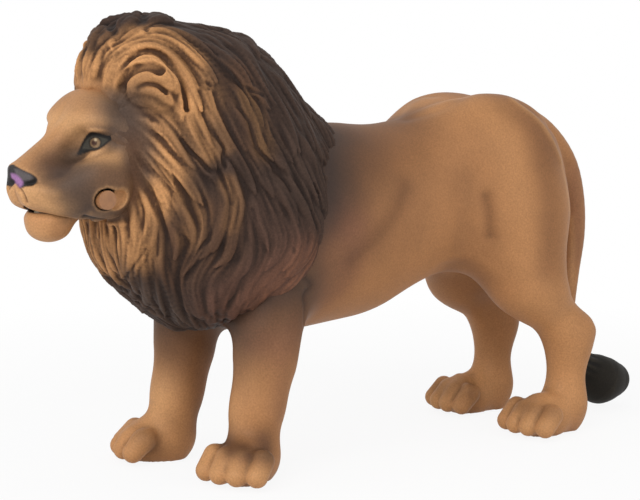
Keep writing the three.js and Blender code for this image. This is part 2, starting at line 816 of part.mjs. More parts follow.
// The bore that a peg passes through, from inside a hinge arm out through the cheek
const jawBore = (side, room) => jawPeg(side, room, armX - armThickness, overrun);

// The bore in the cheek opens backwards into a slanted recess.
function cheekRecess(side) {
  const inner = armX + armThickness * half + jawClearance;
  const out = cheekReach() - inner + recessDiameter * half;
  return bar(
    [side * inner, hingeY, hingeHeight],
    [side * (inner + out), hingeY + out * recessSlantShare, hingeHeight],
    recessDiameter,
  );
}

function headCasting() {
  const open = sides.reduce(
    (casting, side) => casting.subtract(jawBore(side, boreClearance)).subtract(cheekRecess(side)),
    solidOf(headSkin),
  );
  return castingOf(open
    .subtract(solidOf(sweepSkin))
    .subtract(armSweep())
    .subtract(solidOf(mouthSkin))
    .subtract(palateRoof(seamGap))
    .subtract(neckPeg(seamGap)));
}

function hingeArms(room = 0) {
  const thickness = armThickness * half + room;
  const arms = sides.map((side) => bar(
    [side * armX - thickness, hingeY, hingeHeight],
    [side * armX + thickness, hingeY, hingeHeight],
    (armRadius + room) * 2,
  ));
  return arms[0].add(arms[1]);
}

const armSweep = () => hingeArms(jawClearance);

function lowerJaw() {
  const solid = solidOf(jawSkin)
    .add(hingeArms())
    .subtract(solidOf(mouthSkin))
    .subtract(solidOf(tongueSkin, seamGap))
    .subtract(teethSolid(lowerRow, seamGap));
  return castingOf(sides.reduce((casting, side) => casting.subtract(jawBore(side, seamGap)), solid));
}

function tailCasting() {
  return castingOf(solidOf(tailSkin).subtract(solidOf(bodySkin, seamGap)).add(tailPeg()));
}

const tuftCasting = () => castingOf(solidOf(tuftSkin).subtract(solidOf(tailSkin, seamGap)));

const figure = new THREE.Group();

function addPiece(name, solid, colour, roughness) {
  const { vertProperties, triVerts } = solid.getMesh();
  const geometry = new THREE.BufferGeometry();
  geometry.setAttribute('position', new THREE.BufferAttribute(vertProperties, 3));
  geometry.setIndex(new THREE.BufferAttribute(triVerts, 1));
  geometry.computeVertexNormals();
  const material = new THREE.MeshStandardMaterial({ color: colour, roughness, metalness: 0 });
  const mesh = new THREE.Mesh(geometry, material);
  mesh.name = name;
  figure.add(mesh);
}

const tan = '#b4824f';
const faceTan = '#cd915a';
const maneBrown = '#4b3c34';
const tuftBlack = '#2d2a26';
const gumPink = '#a8564f';
const toothIvory = '#e8dcc0';
const matte = 0.62;
const moist = 0.45;

addPiece('rear_body', rearBody(), tan, matte);
addPiece('chest_body', chestBody(), tan, matte);
addPiece('left_foreleg', foreLeg(1), tan, matte);
addPiece('right_foreleg', foreLeg(-1), tan, matte);
addPiece('left_hind_leg', hindLeg(1), tan, matte);
addPiece('right_hind_leg', hindLeg(-1), tan, matte);
addPiece('mane', maneCape(), maneBrown, matte);
addPiece('head', headCasting(), faceTan, matte);
addPiece('palate', palateLining(), gumPink, moist);
addPiece('upper_teeth', teethSolid(upperRow), toothIvory, moist);
addPiece('lower_jaw', lowerJaw(), faceTan, matte);
addPiece('lower_teeth', teethSolid(lowerRow), toothIvory, moist);
addPiece('tongue', solidOf(tongueSkin), gumPink, moist);
addPiece('left_jaw_peg', jawPeg(1), faceTan, matte);
addPiece('right_jaw_peg', jawPeg(-1), faceTan, matte);
addPiece('tail', tailCasting(), tan, matte);
addPiece('tail_tuft', tuftCasting(), tuftBlack, matte);

// The origin is on the ground under the middle of the figure.
const bounds = new THREE.Box3().setFromObject(figure);
figure.position.y = -(bounds.min.y + bounds.max.y) * half;
figure.position.x = -(bounds.min.x + bounds.max.x) * half;

export default figure;
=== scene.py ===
# Looks of a toy male lion with a hinged lower jaw.
# Shapes are sculpted as lumps in millimetres, in the frame's own axes: the lion faces -Y, +X is its left.
import math
import bpy
import numpy as np
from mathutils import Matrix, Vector


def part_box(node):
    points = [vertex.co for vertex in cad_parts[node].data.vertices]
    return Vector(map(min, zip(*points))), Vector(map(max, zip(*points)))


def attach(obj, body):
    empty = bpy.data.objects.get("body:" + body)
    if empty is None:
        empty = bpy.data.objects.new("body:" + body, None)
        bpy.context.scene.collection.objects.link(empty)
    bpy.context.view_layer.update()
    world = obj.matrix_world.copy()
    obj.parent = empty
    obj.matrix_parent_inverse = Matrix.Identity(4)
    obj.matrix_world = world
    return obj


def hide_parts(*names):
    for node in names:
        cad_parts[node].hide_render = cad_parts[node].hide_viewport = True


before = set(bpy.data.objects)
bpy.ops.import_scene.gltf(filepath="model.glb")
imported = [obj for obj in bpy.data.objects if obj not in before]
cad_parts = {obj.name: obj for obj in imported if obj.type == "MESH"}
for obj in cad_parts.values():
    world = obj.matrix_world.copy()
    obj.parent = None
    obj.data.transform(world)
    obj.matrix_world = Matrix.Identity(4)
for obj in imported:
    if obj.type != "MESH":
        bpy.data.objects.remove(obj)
for startup_name in ("Cube", "Camera", "Light"):
    if startup_name in bpy.data.objects:
        bpy.data.objects.remove(bpy.data.objects[startup_name])
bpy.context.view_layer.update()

MM = 0.001                    # metres in a millimetre
HALF = 0.5
TINY = 1e-9                   # keeps a division from zero
FOLD = 0.9                    # rounds the middle plane where the two sides meet

# Sizes in millimetres, as on the solids
WHEELBASE = 118
BACK_HEIGHT = 104
BODY_WIDTH = 50
FORE_STANCE = 34
HIND_STANCE = 40
FORE_STEP = 3.5
HIND_STEP = -1.4
BODY_MELT = 14
LEG_MELT = 9
PAW_MELT = 5
SHOULDER_GIRTH = 25
ELBOW_GIRTH = 15.6
WRIST_GIRTH = 11.8
THIGH_GIRTH = 26
KNEE_GIRTH = 18
HOCK_GIRTH = 14.6
SHANK_GIRTH = 13.4
FORE_LEAN = 8
HIND_LEAN = 9.4
PAW_LENGTH = 29
PAW_WIDTH = 19
PAW_HEIGHT = 15.8
FORE_TURN = 22                # degrees that the fore paws point outwards
FORE_TURN_LEFT = 4            # and that both of them turn to the lion's left besides
HIND_TURN = 5
TOE_WIDTH = 6
TOE_COUNT = 4
SOLE_FLAT = 1.4
HINGE_AHEAD = 37.8
FACE_LENGTH = 18.2
HEAD_WIDTH = 35
HEAD_HEIGHT = 42
EAR_SIZE = 17.5
EAR_SPREAD = 40
EAR_TURN = 35
HEAD_MELT = 6
MANE_WIDTH = 62
MANE_HEIGHT = 92
MANE_LENGTH = 88
MANE_MELT = 12
JAW_WIDTH = 17
JAW_DEPTH = 9
JAW_LENGTH = 15.8
JAW_DROP = 7.9
ARM_THICKNESS = 4
ARM_SPREAD = 23
PEG_DIAMETER = 5.2
JAW_OPENING = 26
JAW_CLEARANCE = 0.5
MOUTH_WIDTH = 15
MOUTH_LENGTH = 15
MOUTH_HEIGHT = 6
TAIL_GIRTH = 8.4
TUFT_GIRTH = 14.2
TUFT_LENGTH = 25
TUFT_RISE = 2.8

# The hinge line is where the frame has the jaw's pegs, and the rest is measured from it.
peg_low, peg_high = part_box("left_jaw_peg")
HINGE_Y = (peg_low[1] + peg_high[1]) * HALF / MM
HINGE_Z = (peg_low[2] + peg_high[2]) * HALF / MM
FORE_Y = HINGE_Y + HINGE_AHEAD
HIND_Y = FORE_Y + WHEELBASE
MIDDLE_Y = FORE_Y + WHEELBASE * HALF

# The camera of the photograph, in its 640 by 500 frame
FRAME_WIDTH = 640
FRAME_HEIGHT = 500
CAMERA_AZIMUTH = 55.5
CAMERA_ELEVATION = 6.5
CAMERA_DISTANCE = 528
CAMERA_FOCUS = 1739           # focal length in pixels
AIM_AHEAD = 15.7              # where it looks, ahead of the middle between the paws
AIM_HEIGHT = 62.2
SENSOR_WIDTH = 36

azimuth = math.radians(CAMERA_AZIMUTH)
elevation = math.radians(CAMERA_ELEVATION)
aim = np.array([0, MIDDLE_Y - AIM_AHEAD, AIM_HEIGHT])
towards = np.array([-math.sin(azimuth) * math.cos(elevation), math.cos(azimuth) * math.cos(elevation),
                    -math.sin(elevation)])
eye_point = aim - towards * CAMERA_DISTANCE
rightwards = np.cross(towards, [0, 0, 1])
rightwards /= np.linalg.norm(rightwards)
upwards = np.cross(rightwards, towards)


# Lumps: functions of a point's coordinates that give the distance to a skin, negative inside
def egg(centre, halves):
    cx, cy, cz = centre
    hx, hy, hz = halves

    def distance(x, y, z):
        dx, dy, dz = x - cx, y - cy, z - cz
        reach = np.sqrt((dx / hx) ** 2 + (dy / hy) ** 2 + (dz / hz) ** 2)
        slope = np.sqrt((dx / hx ** 2) ** 2 + (dy / hy ** 2) ** 2 + (dz / hz ** 2) ** 2)
        return reach * (reach - 1) / np.maximum(slope, TINY)
    return distance


def eggs_on(place_of, sizes):
    """A function that makes an egg from the shares of its place and of its halves."""
    def make(place_shares, half_shares):
        return egg(place_of(place_shares), [share * size for share, size in zip(half_shares, sizes)])
    return make


def from_line(start, line, x, y, z):
    """How far along a line each point lies, as a share of it, and the point's offset from there."""
    dx, dy, dz = x - start[0], y - start[1], z - start[2]
    square = max(float(line @ line), TINY)
    share = np.clip((dx * line[0] + dy * line[1] + dz * line[2]) / square, 0, 1)
    return share, dx - line[0] * share, dy - line[1] * share, dz - line[2] * share


def bone(start, start_radius, end, end_radius):
    """A round-ended rod that may taper."""
    start, end = np.array(start, float), np.array(end, float)
    line = end - start

    def distance(x, y, z):
        share, dx, dy, dz = from_line(start, line, x, y, z)
        away = np.sqrt(dx ** 2 + dy ** 2 + dz ** 2)
        return away - (start_radius + (end_radius - start_radius) * share)
    return distance


def smooth_least(near, other, width):
    """The lesser of two distances, rounded over where they are within that width of each other."""
    overlap = np.maximum(width - np.abs(near - other), 0) / width
    return np.minimum(near, other) - overlap * overlap * width / 4


def melt(width, *lumps):
    """Lumps run together, the dips between them filled over that width."""
    def distance(x, y, z):
        near = lumps[0](x, y, z)
        for lump in lumps[1:]:
            near = smooth_least(near, lump(x, y, z), width)
        return near
    return distance


def joined(*lumps):
    def distance(x, y, z):
        near = lumps[0](x, y, z)
        for lump in lumps[1:]:
            near = np.minimum(near, lump(x, y, z))
        return near
    return distance


def pair(lump):
    """A lump and its mirror image, with no crease between them."""
    return lambda x, y, z: lump(np.sqrt(x * x + FOLD * FOLD), y, z)


def folded(points):
    """Points with those of the lion's right side laid onto its left side."""
    near = points.copy()
    near[:, 0] = np.sqrt(points[:, 0] ** 2 + FOLD ** 2)
    return near


def carved(lump, tool, width):
    """The lump with the tool's shape taken out, its rim rounded over that width."""
    return lambda x, y, z: -smooth_least(-lump(x, y, z), tool(x, y, z), width)


def grown(lump, by):
    """The lump thickened by that much, or thinned by a negative amount."""
    return lambda x, y, z: lump(x, y, z) - by


def turned(lump, centre, degrees):
    """Turned clockwise, seen from above, about an upright line."""
    px, py = centre
    cos, sin = math.cos(math.radians(degrees)), math.sin(math.radians(degrees))

    def distance(x, y, z):
        dx, dy = x - px, y - py
        return lump(px + dx * cos - dy * sin, py + dx * sin + dy * cos, z)
    return distance


# Skins: the grid's cells that a lump's surface passes through each give one point.
def axes_of(low, high, cell):
    counts = [int(math.ceil((b - a) / cell)) + 1 for a, b in zip(low, high)]
    return [(np.arange(count) * cell + a).astype(np.float32) for count, a in zip(counts, low)]


def values_on(lump, low, high, cell, spacing):
    """A lump's distances on a fine grid, worked out every few cells and drawn straight between them."""
    wide = cell * spacing
    wide_axes = axes_of(low, [top + wide for top in high], wide)
    x, y, z = wide_axes
    field = lump(x[:, None, None], y[None, :, None], z[None, None, :]).astype(np.float32)
    for axis, places in enumerate(axes_of(low, high, cell)):
        at = (places - wide_axes[axis][0]) / np.float32(wide)
        before = np.clip(np.floor(at).astype(int), 0, field.shape[axis] - 2)
        share = (at - before).astype(np.float32).reshape([-1 if axis == side else 1 for side in range(3)])
        start, end = np.take(field, before, axis), np.take(field, before + 1, axis)
        field = start + (end - start) * share
    return field


def skin_of(lump, cell, low, high):
    """Points and faces of a lump's surface in a box, drawn onto it after the grid has found them."""
    spacing, draws = 2, 3
    points, quads = net_of(values_on(lump, low, high, cell, spacing), low, cell)
    for _ in range(draws):
        points -= outward(lump, points, cell) * np.clip(lump(*points.T), -cell, cell)[:, None]
    return points, quads


def within(lump, low, high):
    """The lump where it lies in a box; elsewhere it counts as far away."""
    far = 60.0                # millimetres, further than any melt reaches

    def distance(x, y, z):
        if x.ndim == 3:
            axes = [values.ravel() for values in (x, y, z)]
            spans = []
            for values, bottom, top in zip(axes, low, high):
                start, end = np.searchsorted(values, [bottom, top])
                spans.append(slice(start, max(end, start)))
            near = np.full([len(values) for values in axes], far, np.float32)
            if all(span.stop > span.start for span in spans):
                near[tuple(spans)] = lump(x[spans[0]], y[:, spans[1]], z[:, :, spans[2]])
            return near
        chosen = np.ones(len(x), bool)
        for values, bottom, top in zip((x, y, z), low, high):
            chosen &= (values >= bottom) & (values <= top)
        near = np.full(len(x), far)
        near[chosen] = lump(x[chosen], y[chosen], z[chosen])
        return near
    return distance


def net_of(field, low, cell):
    """Points and four-sided faces of the surface where a grid's field is zero."""
    shape = np.array(field.shape) - 1
    spans, corners, flips = [], [], []
    for axis in range(3):
        others = [(axis + 1) % 3, (axis + 2) % 3]
        first = np.take(field, range(field.shape[axis] - 1), axis)
        second = np.take(field, range(1, field.shape[axis]), axis)
        at = np.argwhere((first < 0) != (second < 0))
        a, b = first[tuple(at.T)], second[tuple(at.T)]
        place = at.astype(np.float64)
        place[:, axis] += a / (a - b)
        for back in ((0, 0), (1, 0), (1, 1), (0, 1)):
            corner = at.copy()
            corner[:, others[0]] -= back[0]
            corner[:, others[1]] -= back[1]
            corners.append(corner)
            spans.append(place)
        flips.append(a < 0)
    corners, spans = np.concatenate(corners), np.concatenate(spans)
    flat = np.ravel_multi_index(tuple(corners.T), tuple(shape))
    _, number = np.unique(flat, return_inverse=True)
    share = np.bincount(number)
    points = np.stack([np.bincount(number, spans[:, axis]) / share for axis in range(3)], 1)
    quads, start = [], 0
    for flip in flips:
        size = len(flip)
        quad = number[start:start + 4 * size].reshape(4, size).T
        quads.append(np.where(flip[:, None], quad, quad[:, ::-1]))
        start += 4 * size
    return points * cell + np.array(low), np.concatenate(quads)


def outward(lump, points, cell=1.0):
    """The outward direction of a lump's skin at points, measured over a small share of a cell."""
    step_share = 0.1
    step = cell * step_share
    slope = np.empty_like(points)
    for axis in range(3):
        shift = np.zeros(3)
        shift[axis] = step
        slope[:, axis] = lump(*(points + shift).T) - lump(*(points - shift).T)
    return slope / np.maximum(np.linalg.norm(slope, axis=1, keepdims=True), TINY)


def normals_of(points, quads):
    a, b, c, d = (points[quads[:, corner]] for corner in range(4))
    faces = np.cross(c - a, d - b)
    normals = np.zeros_like(points)
    for corner in range(4):
        for axis in range(3):
            normals[:, axis] += np.bincount(quads[:, corner], faces[:, axis], len(points))
    return normals / np.maximum(np.linalg.norm(normals, axis=1, keepdims=True), TINY)


def neighbour_mean(quads, size):
    """A function that gives each point the mean of its neighbours' values."""
    starts, ends = quads.ravel(), np.roll(quads, -1, 1).ravel()
    degree = np.maximum(np.bincount(starts, minlength=size) + np.bincount(ends, minlength=size), 1)

    def mean(column):
        return (np.bincount(starts, column[ends], size) + np.bincount(ends, column[starts], size)) / degree
    return mean


def relief_of(points, quads, rounds):
    """How far each point stands out from the skin smoothed over that many rounds, in millimetres."""
    mean = neighbour_mean(quads, len(points))
    smooth = points.copy()
    for _ in range(rounds):
        for axis in range(3):
            smooth[:, axis] = mean(smooth[:, axis])
    return np.einsum("ij,ij->i", points - smooth, normals_of(points, quads))


# Places that the photograph shows
ROUTE_SPACING = 4             # pixels between the points of a traced route
PAINT_SPACING = 5


def seen(pixels, lump):
    """The points of a lump's skin that the photograph shows at those pixels."""
    pixels = np.array(pixels, float)
    rays = (towards + rightwards * (pixels[:, :1] - FRAME_WIDTH * HALF) / CAMERA_FOCUS
            - upwards * (pixels[:, 1:] - FRAME_HEIGHT * HALF) / CAMERA_FOCUS)
    rays /= np.linalg.norm(rays, axis=1, keepdims=True)
    near_share, far_share, caution, steps = 0.7, 1.3, 0.7, 120
    reach = np.full(len(rays), CAMERA_DISTANCE * near_share)
    best, best_reach = np.full(len(rays), np.inf), reach.copy()
    for _ in range(steps):
        gap = lump(*(eye_point + rays * reach[:, None]).T)
        closer = np.abs(gap) < best
        best = np.where(closer, np.abs(gap), best)
        best_reach = np.where(closer, reach, best_reach)
        reach = np.minimum(reach + gap * caution, CAMERA_DISTANCE * far_share)
    return eye_point + rays * best_reach[:, None]


def pictured(points):
    """The photograph's pixels of points, with the far side folded onto the near side."""
    offsets = np.abs(points * [1, 0, 0]) + points * [0, 1, 1] - eye_point
    depths = offsets @ towards
    return np.stack([FRAME_WIDTH * HALF + CAMERA_FOCUS * (offsets @ rightwards) / depths,
                     FRAME_HEIGHT * HALF - CAMERA_FOCUS * (offsets @ upwards) / depths], 1)


def curve_through(route, spacing):
    """Evenly spaced points of a smooth curve through a route."""
    route = np.array(route, float)
    if len(route) == 1:
        return route
    padded = np.concatenate([[2 * route[0] - route[1]], route, [2 * route[-1] - route[-2]]])
    spans, per_span = [], 12
    for a, b, c, d in zip(padded, padded[1:], padded[2:], padded[3:]):
        t = np.arange(per_span)[:, None] / per_span
        spans.append(HALF * (2 * b + (c - a) * t + (2 * a - 5 * b + 4 * c - d) * t ** 2
                             + (3 * b - a - 3 * c + d) * t ** 3))
    fine = np.concatenate([*spans, route[-1:]])
    along = np.concatenate([[0], np.cumsum(np.linalg.norm(np.diff(fine, axis=0), axis=1))])
    fewest = 2
    at = np.linspace(0, along[-1], max(int(along[-1] / spacing), fewest) + 1)
    return np.stack([np.interp(at, along, column) for column in fine.T], 1)


def traced(route, lump, spacing=ROUTE_SPACING):
    """Evenly spaced points of a lump's skin along a route in the photograph's pixels."""
    return seen(curve_through(route, spacing), lump)


def squares_to(spots, start, end):
    """Squares of the distances from points to a stretch of line."""
    line = end - start
    share = np.clip((spots - start) @ line / max(line @ line, TINY), 0, 1)
    return np.sum((spots - start - share[:, None] * line) ** 2, axis=1)


def stroke_amount(points, places, reach, power=2):
    """1 along a line of places and fading to 0 round it, the same on both sides of the lion."""
    spots, places = folded(points), folded(places)
    far = 3 * reach
    near = np.all((spots > places.min(0) - far) & (spots < places.max(0) + far), axis=1)
    close = spots[near]
    least = np.full(len(close), np.inf)
    ends = places[1:] if len(places) > 1 else places
    for start, end in zip(places, ends):
        least = np.minimum(least, squares_to(close, start, end))
    amount = np.zeros(len(points))
    amount[near] = np.exp(-(np.sqrt(least) / reach) ** power)
    return amount


def outline_amount(spots, outline, softness):
    """1 inside an outline in the photograph's pixels and 0 outside, over a soft edge."""
    spacing = 1.5
    outline = curve_through([*outline, outline[0]], spacing)
    least = np.full(len(spots), np.inf)
    inside = np.zeros(len(spots), bool)
    for start, end in zip(outline[:-1], outline[1:]):
        line = end - start
        least = np.minimum(least, squares_to(spots, start, end))
        crosses = (start[1] > spots[:, 1]) != (end[1] > spots[:, 1])
        rise = line[1] if abs(line[1]) > TINY else TINY
        inside ^= crosses & (spots[:, 0] < start[0] + line[0] * (spots[:, 1] - start[1]) / rise)
    gap = np.where(inside, 1, -1) * np.sqrt(least)
    return np.clip(HALF + gap / softness, 0, 1)


def pushed(points, ups, lump, strokes):
    """Skin points raised, or sunk, along routes that the photograph shows: a reach and a height each."""
    for route, reach, height in strokes:
        amount = stroke_amount(points, traced(route, lump), reach)
        points = points + ups * (height * amount)[:, None]
    return points


# Colours, written as sRGB levels
def colour(red, green, blue):
    levels = np.array([red, green, blue]) / 255
    return np.where(levels <= 0.04045, levels / 12.92, ((levels + 0.055) / 1.055) ** 2.4)


TAN = colour(168, 118, 76)
GOLD_TAN = colour(184, 132, 86)
DEEP_TAN = colour(124, 83, 52)
FACE_TAN = colour(186, 137, 92)
PALE_TAN = colour(206, 156, 106)
BROWN = colour(98, 66, 44)
GREY_BROWN = colour(86, 70, 60)
RUSSET = colour(126, 84, 62)
MANE_DARK = colour(60, 45, 38)
MANE_PIT = colour(32, 24, 21)
MANE_TAN = colour(184, 134, 88)
MANE_SHADE = colour(82, 56, 38)
MANE_MAUVE = colour(104, 73, 60)
MANE_OLIVE = colour(150, 112, 66)
TUFT_DARK = colour(27, 25, 22)
TUFT_PALE = colour(82, 74, 62)
NOSE_GREY = colour(84, 78, 78)
NOSE_BLACK = colour(34, 30, 30)
NOSE_MAUVE = colour(158, 112, 160)
LIP_GREY = colour(84, 72, 68)
EYE_BLACK = colour(24, 21, 20)
EYE_SLATE = colour(60, 57, 50)
IRIS = colour(120, 96, 70)
# cream of the painted glint on the eye
GLINT_CREAM = colour(176, 156, 126)
PUPIL = colour(56, 32, 22)
MOUTH_PINK = colour(164, 92, 82)
GUM_DARK = colour(92, 52, 48)
TOOTH_IVORY = colour(228, 216, 186)
TOOTH_ROOT = colour(190, 158, 112)


def blended(base, layer, amount):
    return base + (layer - base) * np.clip(amount, 0, 1)[:, None]


def airbrushed(shade, points, lump, strokes):
    """Paint sprayed along routes in the photograph's pixels, the toy's own tones and in places painted shade
    and painted light: a reach, a colour and a strength each.
    """
    for route, reach, layer, strength in strokes:
        places = traced(route, lump, PAINT_SPACING)
        shade = blended(shade, layer, strength * stroke_amount(points, places, reach))
    return shade


def coat(shade, points):
    """One colour on every point."""
    return np.tile(shade, (len(points), 1))


def mixed(shade, other, share):
    return shade + (other - shade) * share


def rising(values, full, start_share=0):
    """0 up to a share of full, then rising to 1 over a range as wide as full."""
    return np.clip(values / full - start_share, 0, 1)


def crease_shaded(paint, relief, depth, dark_share, strength):
    """Painted shade: darker paint where the relief is sunk, in creases and hollows, at its strongest from
    that depth on.
    """
    return blended(paint, paint * dark_share, rising(-relief, depth) * strength)


def relief_highlighted(paint, relief, height, layer, strength):
    """Painted highlight: another colour where the relief stands out, at its strongest from that height on."""
    return blended(paint, layer, rising(relief, height) * strength)


def near_amount(lump, points, full_at, fade):
    """1 inside a lump and close to it, and fading to 0 away from it."""
    return np.clip(1 - (lump(*points.T) - full_at) / fade, 0, 1)


# Materials
def node_of(owner, kind, **settings):
    """A node with those settings. A setting that is the output of another node is linked to it."""
    tree = owner.node_tree
    node = tree.nodes.new(kind)
    for name, value in settings.items():
        socket_name = name.replace("_", " ").title()
        if socket_name not in node.inputs:
            setattr(node, name, value)
        elif isinstance(value, bpy.types.NodeSocket):
            tree.links.new(value, node.inputs[socket_name])
        else:
            node.inputs[socket_name].default_value = value
    return node


def maths(owner, operation, first, second):
    """The output of a node that works on two other outputs."""
    node = node_of(owner, "ShaderNodeMath", operation=operation)
    owner.node_tree.links.new(first, node.inputs[0])
    owner.node_tree.links.new(second, node.inputs[1])
    return node.outputs[0]


def new_material(name):
    """A material, its main shader and a function that links an output to one of the shader's sockets."""
    material = bpy.data.materials.new(name)
    material.use_nodes = True
    shader = material.node_tree.nodes["Principled BSDF"]

    def wire(output, socket_name):
        material.node_tree.links.new(output, shader.inputs[socket_name])
    return material, shader, wire


def noise_of(material, scale):
    """Noise that lies on the piece, with that many waves to the millimetre."""
    place = node_of(material, "ShaderNodeTexCoord").outputs["Object"]
    return node_of(material, "ShaderNodeTexNoise", vector=place, scale=scale / MM, detail=4.0).outputs["Fac"]


def spread_about(material, noise, middle, spread, **taken):
    """The noise stretched to a spread on both sides of a middle value."""
    low, high = middle - spread, middle + spread
    stretch = node_of(material, "ShaderNodeMapRange", value=noise, to_min=low, to_max=high, **taken)
    return stretch.outputs["Result"]


def painted_vinyl(name, index=1.3, roughness=0.56, grain=0.03, speckle=0.1):
    """Matte painted vinyl. The paint comes from the mesh; fine spray speckle and a slight grain lie on it."""
    material, shader, wire = new_material(name)
    shader.inputs["IOR"].default_value = index
    fine_waves, broad_waves = 1.9, 0.09
    fine, broad = noise_of(material, fine_waves), noise_of(material, broad_waves)
    middle_part = {"from_min": 0.25, "from_max": 0.75}
    tone = spread_about(material, fine, 1, speckle, **middle_part)
    patch = spread_about(material, broad, 1, speckle * HALF, **middle_part)
    paint = node_of(material, "ShaderNodeAttribute", attribute_name="paint").outputs["Color"]
    scaled = node_of(material, "ShaderNodeVectorMath", operation="SCALE", vector=paint,
                     scale=maths(material, "MULTIPLY", tone, patch))
    wire(scaled.outputs["Vector"], "Base Color")
    sheen_spread = 0.07
    wire(spread_about(material, broad, roughness, sheen_spread), "Roughness")
    bump = node_of(material, "ShaderNodeBump", strength=0.35, distance=grain * MM, height=fine)
    wire(bump.outputs["Normal"], "Normal")
    return material


# Pieces
def linked(name, data):
    """A new object in the scene."""
    thing = bpy.data.objects.new(name, data)
    bpy.context.collection.objects.link(thing)
    return thing


def add_piece(name, points, quads, paint, material, body, nodes):
    mesh = bpy.data.meshes.new(name)
    mesh.from_pydata((points * MM).tolist(), [], quads.tolist())
    mesh.shade_smooth()
    layer = mesh.color_attributes.new("paint", "FLOAT_COLOR", "POINT")
    levels = np.ones((len(points), 4), np.float32)
    levels[:, :3] = np.clip(paint, 0, 1)
    layer.data.foreach_set("color", levels.ravel())
    mesh.materials.append(material)
    piece = linked(name, mesh)
    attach(piece, body)
    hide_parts(*nodes)
    return piece


# Body, legs and tail
def on_body(shares):
    across, along, up = shares
    return [across * BODY_WIDTH * HALF, MIDDLE_Y + along * WHEELBASE, up * BACK_HEIGHT]


body_egg = eggs_on(on_body, [BODY_WIDTH * HALF, WHEELBASE, BACK_HEIGHT])


def trunk_lump():
    neck_shares = [[0, -0.42, 0.75], [0, -0.7, 0.88]]
    neck_from, neck_to = (on_body(shares) for shares in neck_shares)
    neck_girth_share, throat_girth_share = 0.8, 0.6
    return melt(
        BODY_MELT,
        body_egg([0, -0.34, 0.665], [0.9, 0.24, 0.28]),
        body_egg([0, -0.11, 0.681], [0.95, 0.33, 0.288]),
        body_egg([0, 0.26, 0.755], [0.82, 0.27, 0.245]),
        body_egg([0, 0.515, 0.75], [0.46, 0.17, 0.22]),
        pair(body_egg([0.42, 0.335, 0.93], [0.34, 0.14, 0.1])),
        pair(body_egg([0.5, 0.435, 0.69], [0.48, 0.145, 0.27])),
        bone(neck_from, BODY_WIDTH * HALF * neck_girth_share,
             neck_to, BODY_WIDTH * HALF * throat_girth_share),
    )


def paw_lump(centre_x, centre_y, lean, heel_back, turn):
    """A paw with four short round toes in front of the pad."""
    pad_shares, heel_shares, heel_up_share = [0.4, 0.37, 0.46], [0.3, 0.31, 0.52], 0.42
    knuckle_shares, tip_shares = [0.28, 0.24, 0.5], [0.295, 0.37, 0.27]
    toe_back_share, toe_girth_share, toe_taper_share = 0.03, 0.56, 0.92
    toe_melt_share, pad_melt_share, row_melt_share = 0.24, 0.5, 0.3
    pad = egg([centre_x, centre_y, PAW_HEIGHT * pad_shares[2] - SOLE_FLAT],
              [PAW_WIDTH * pad_shares[0], PAW_LENGTH * pad_shares[1], PAW_HEIGHT * pad_shares[2]])
    heel = egg([centre_x, centre_y + lean + heel_back, PAW_HEIGHT * heel_up_share],
               [PAW_WIDTH * heel_shares[0], PAW_WIDTH * heel_shares[1], PAW_HEIGHT * heel_shares[2]])
    girth = TOE_WIDTH * toe_girth_share
    toes = []
    for number in range(TOE_COUNT):
        side = number - (TOE_COUNT - 1) * HALF
        back = side * side * toe_back_share * PAW_LENGTH
        knuckle, tip = (
            [centre_x + side * across * PAW_WIDTH, centre_y - ahead * PAW_LENGTH + back, up * PAW_HEIGHT]
            for across, ahead, up in (knuckle_shares, tip_shares)
        )
        toes.append(bone(knuckle, girth, tip, girth * toe_taper_share))
    toe_row = melt(TOE_WIDTH * toe_melt_share, *toes)
    foot = melt(TOE_WIDTH * pad_melt_share, pad, heel)
    return turned(melt(TOE_WIDTH * row_melt_share, foot, toe_row), [centre_x, centre_y + lean], turn)


def leg_box(centre_x, paw_y, half_width, top):
    room = 16
    return ([centre_x - half_width - room, paw_y - PAW_LENGTH - room, -room],
            [centre_x + half_width + room, paw_y + PAW_LENGTH + room, top + room])


def leg_lump(joints, radii):
    """A leg of rods from joint to joint, each with its radius."""
    ends = zip(joints[:-1], radii[:-1], joints[1:], radii[1:])
    return melt(LEG_MELT, *[bone(*rod) for rod in ends])


def fore_leg_lump(side):
    centre_x = side * FORE_STANCE * HALF
    paw_y = FORE_Y + side * FORE_STEP
    shoulder = on_body([0.54 * side, -0.36, 0.66])
    shoulder[1] += side * FORE_STEP
    lower_shares = [[1.25, 0.42], [1.1, 0.31], [0.76, 0.19], [0.48, 0.09]]
    lower = [[centre_x, paw_y + FORE_LEAN * back, BACK_HEIGHT * up] for back, up in lower_shares]
    forearm_girth_share, wrist_girth_share = 0.84, 0.98
    elbow_radius, wrist_radius = ELBOW_GIRTH * HALF, WRIST_GIRTH * HALF
    leg = leg_lump([shoulder, *lower],
                   [SHOULDER_GIRTH * HALF, elbow_radius, elbow_radius * forearm_girth_share,
                    wrist_radius * wrist_girth_share, wrist_radius])
    heel_back, turn = -3.2, -side * FORE_TURN - FORE_TURN_LEFT
    whole = melt(PAW_MELT, leg, paw_lump(centre_x, paw_y, FORE_LEAN, heel_back, turn))
    return within(whole, *leg_box(centre_x, paw_y, SHOULDER_GIRTH, BACK_HEIGHT))


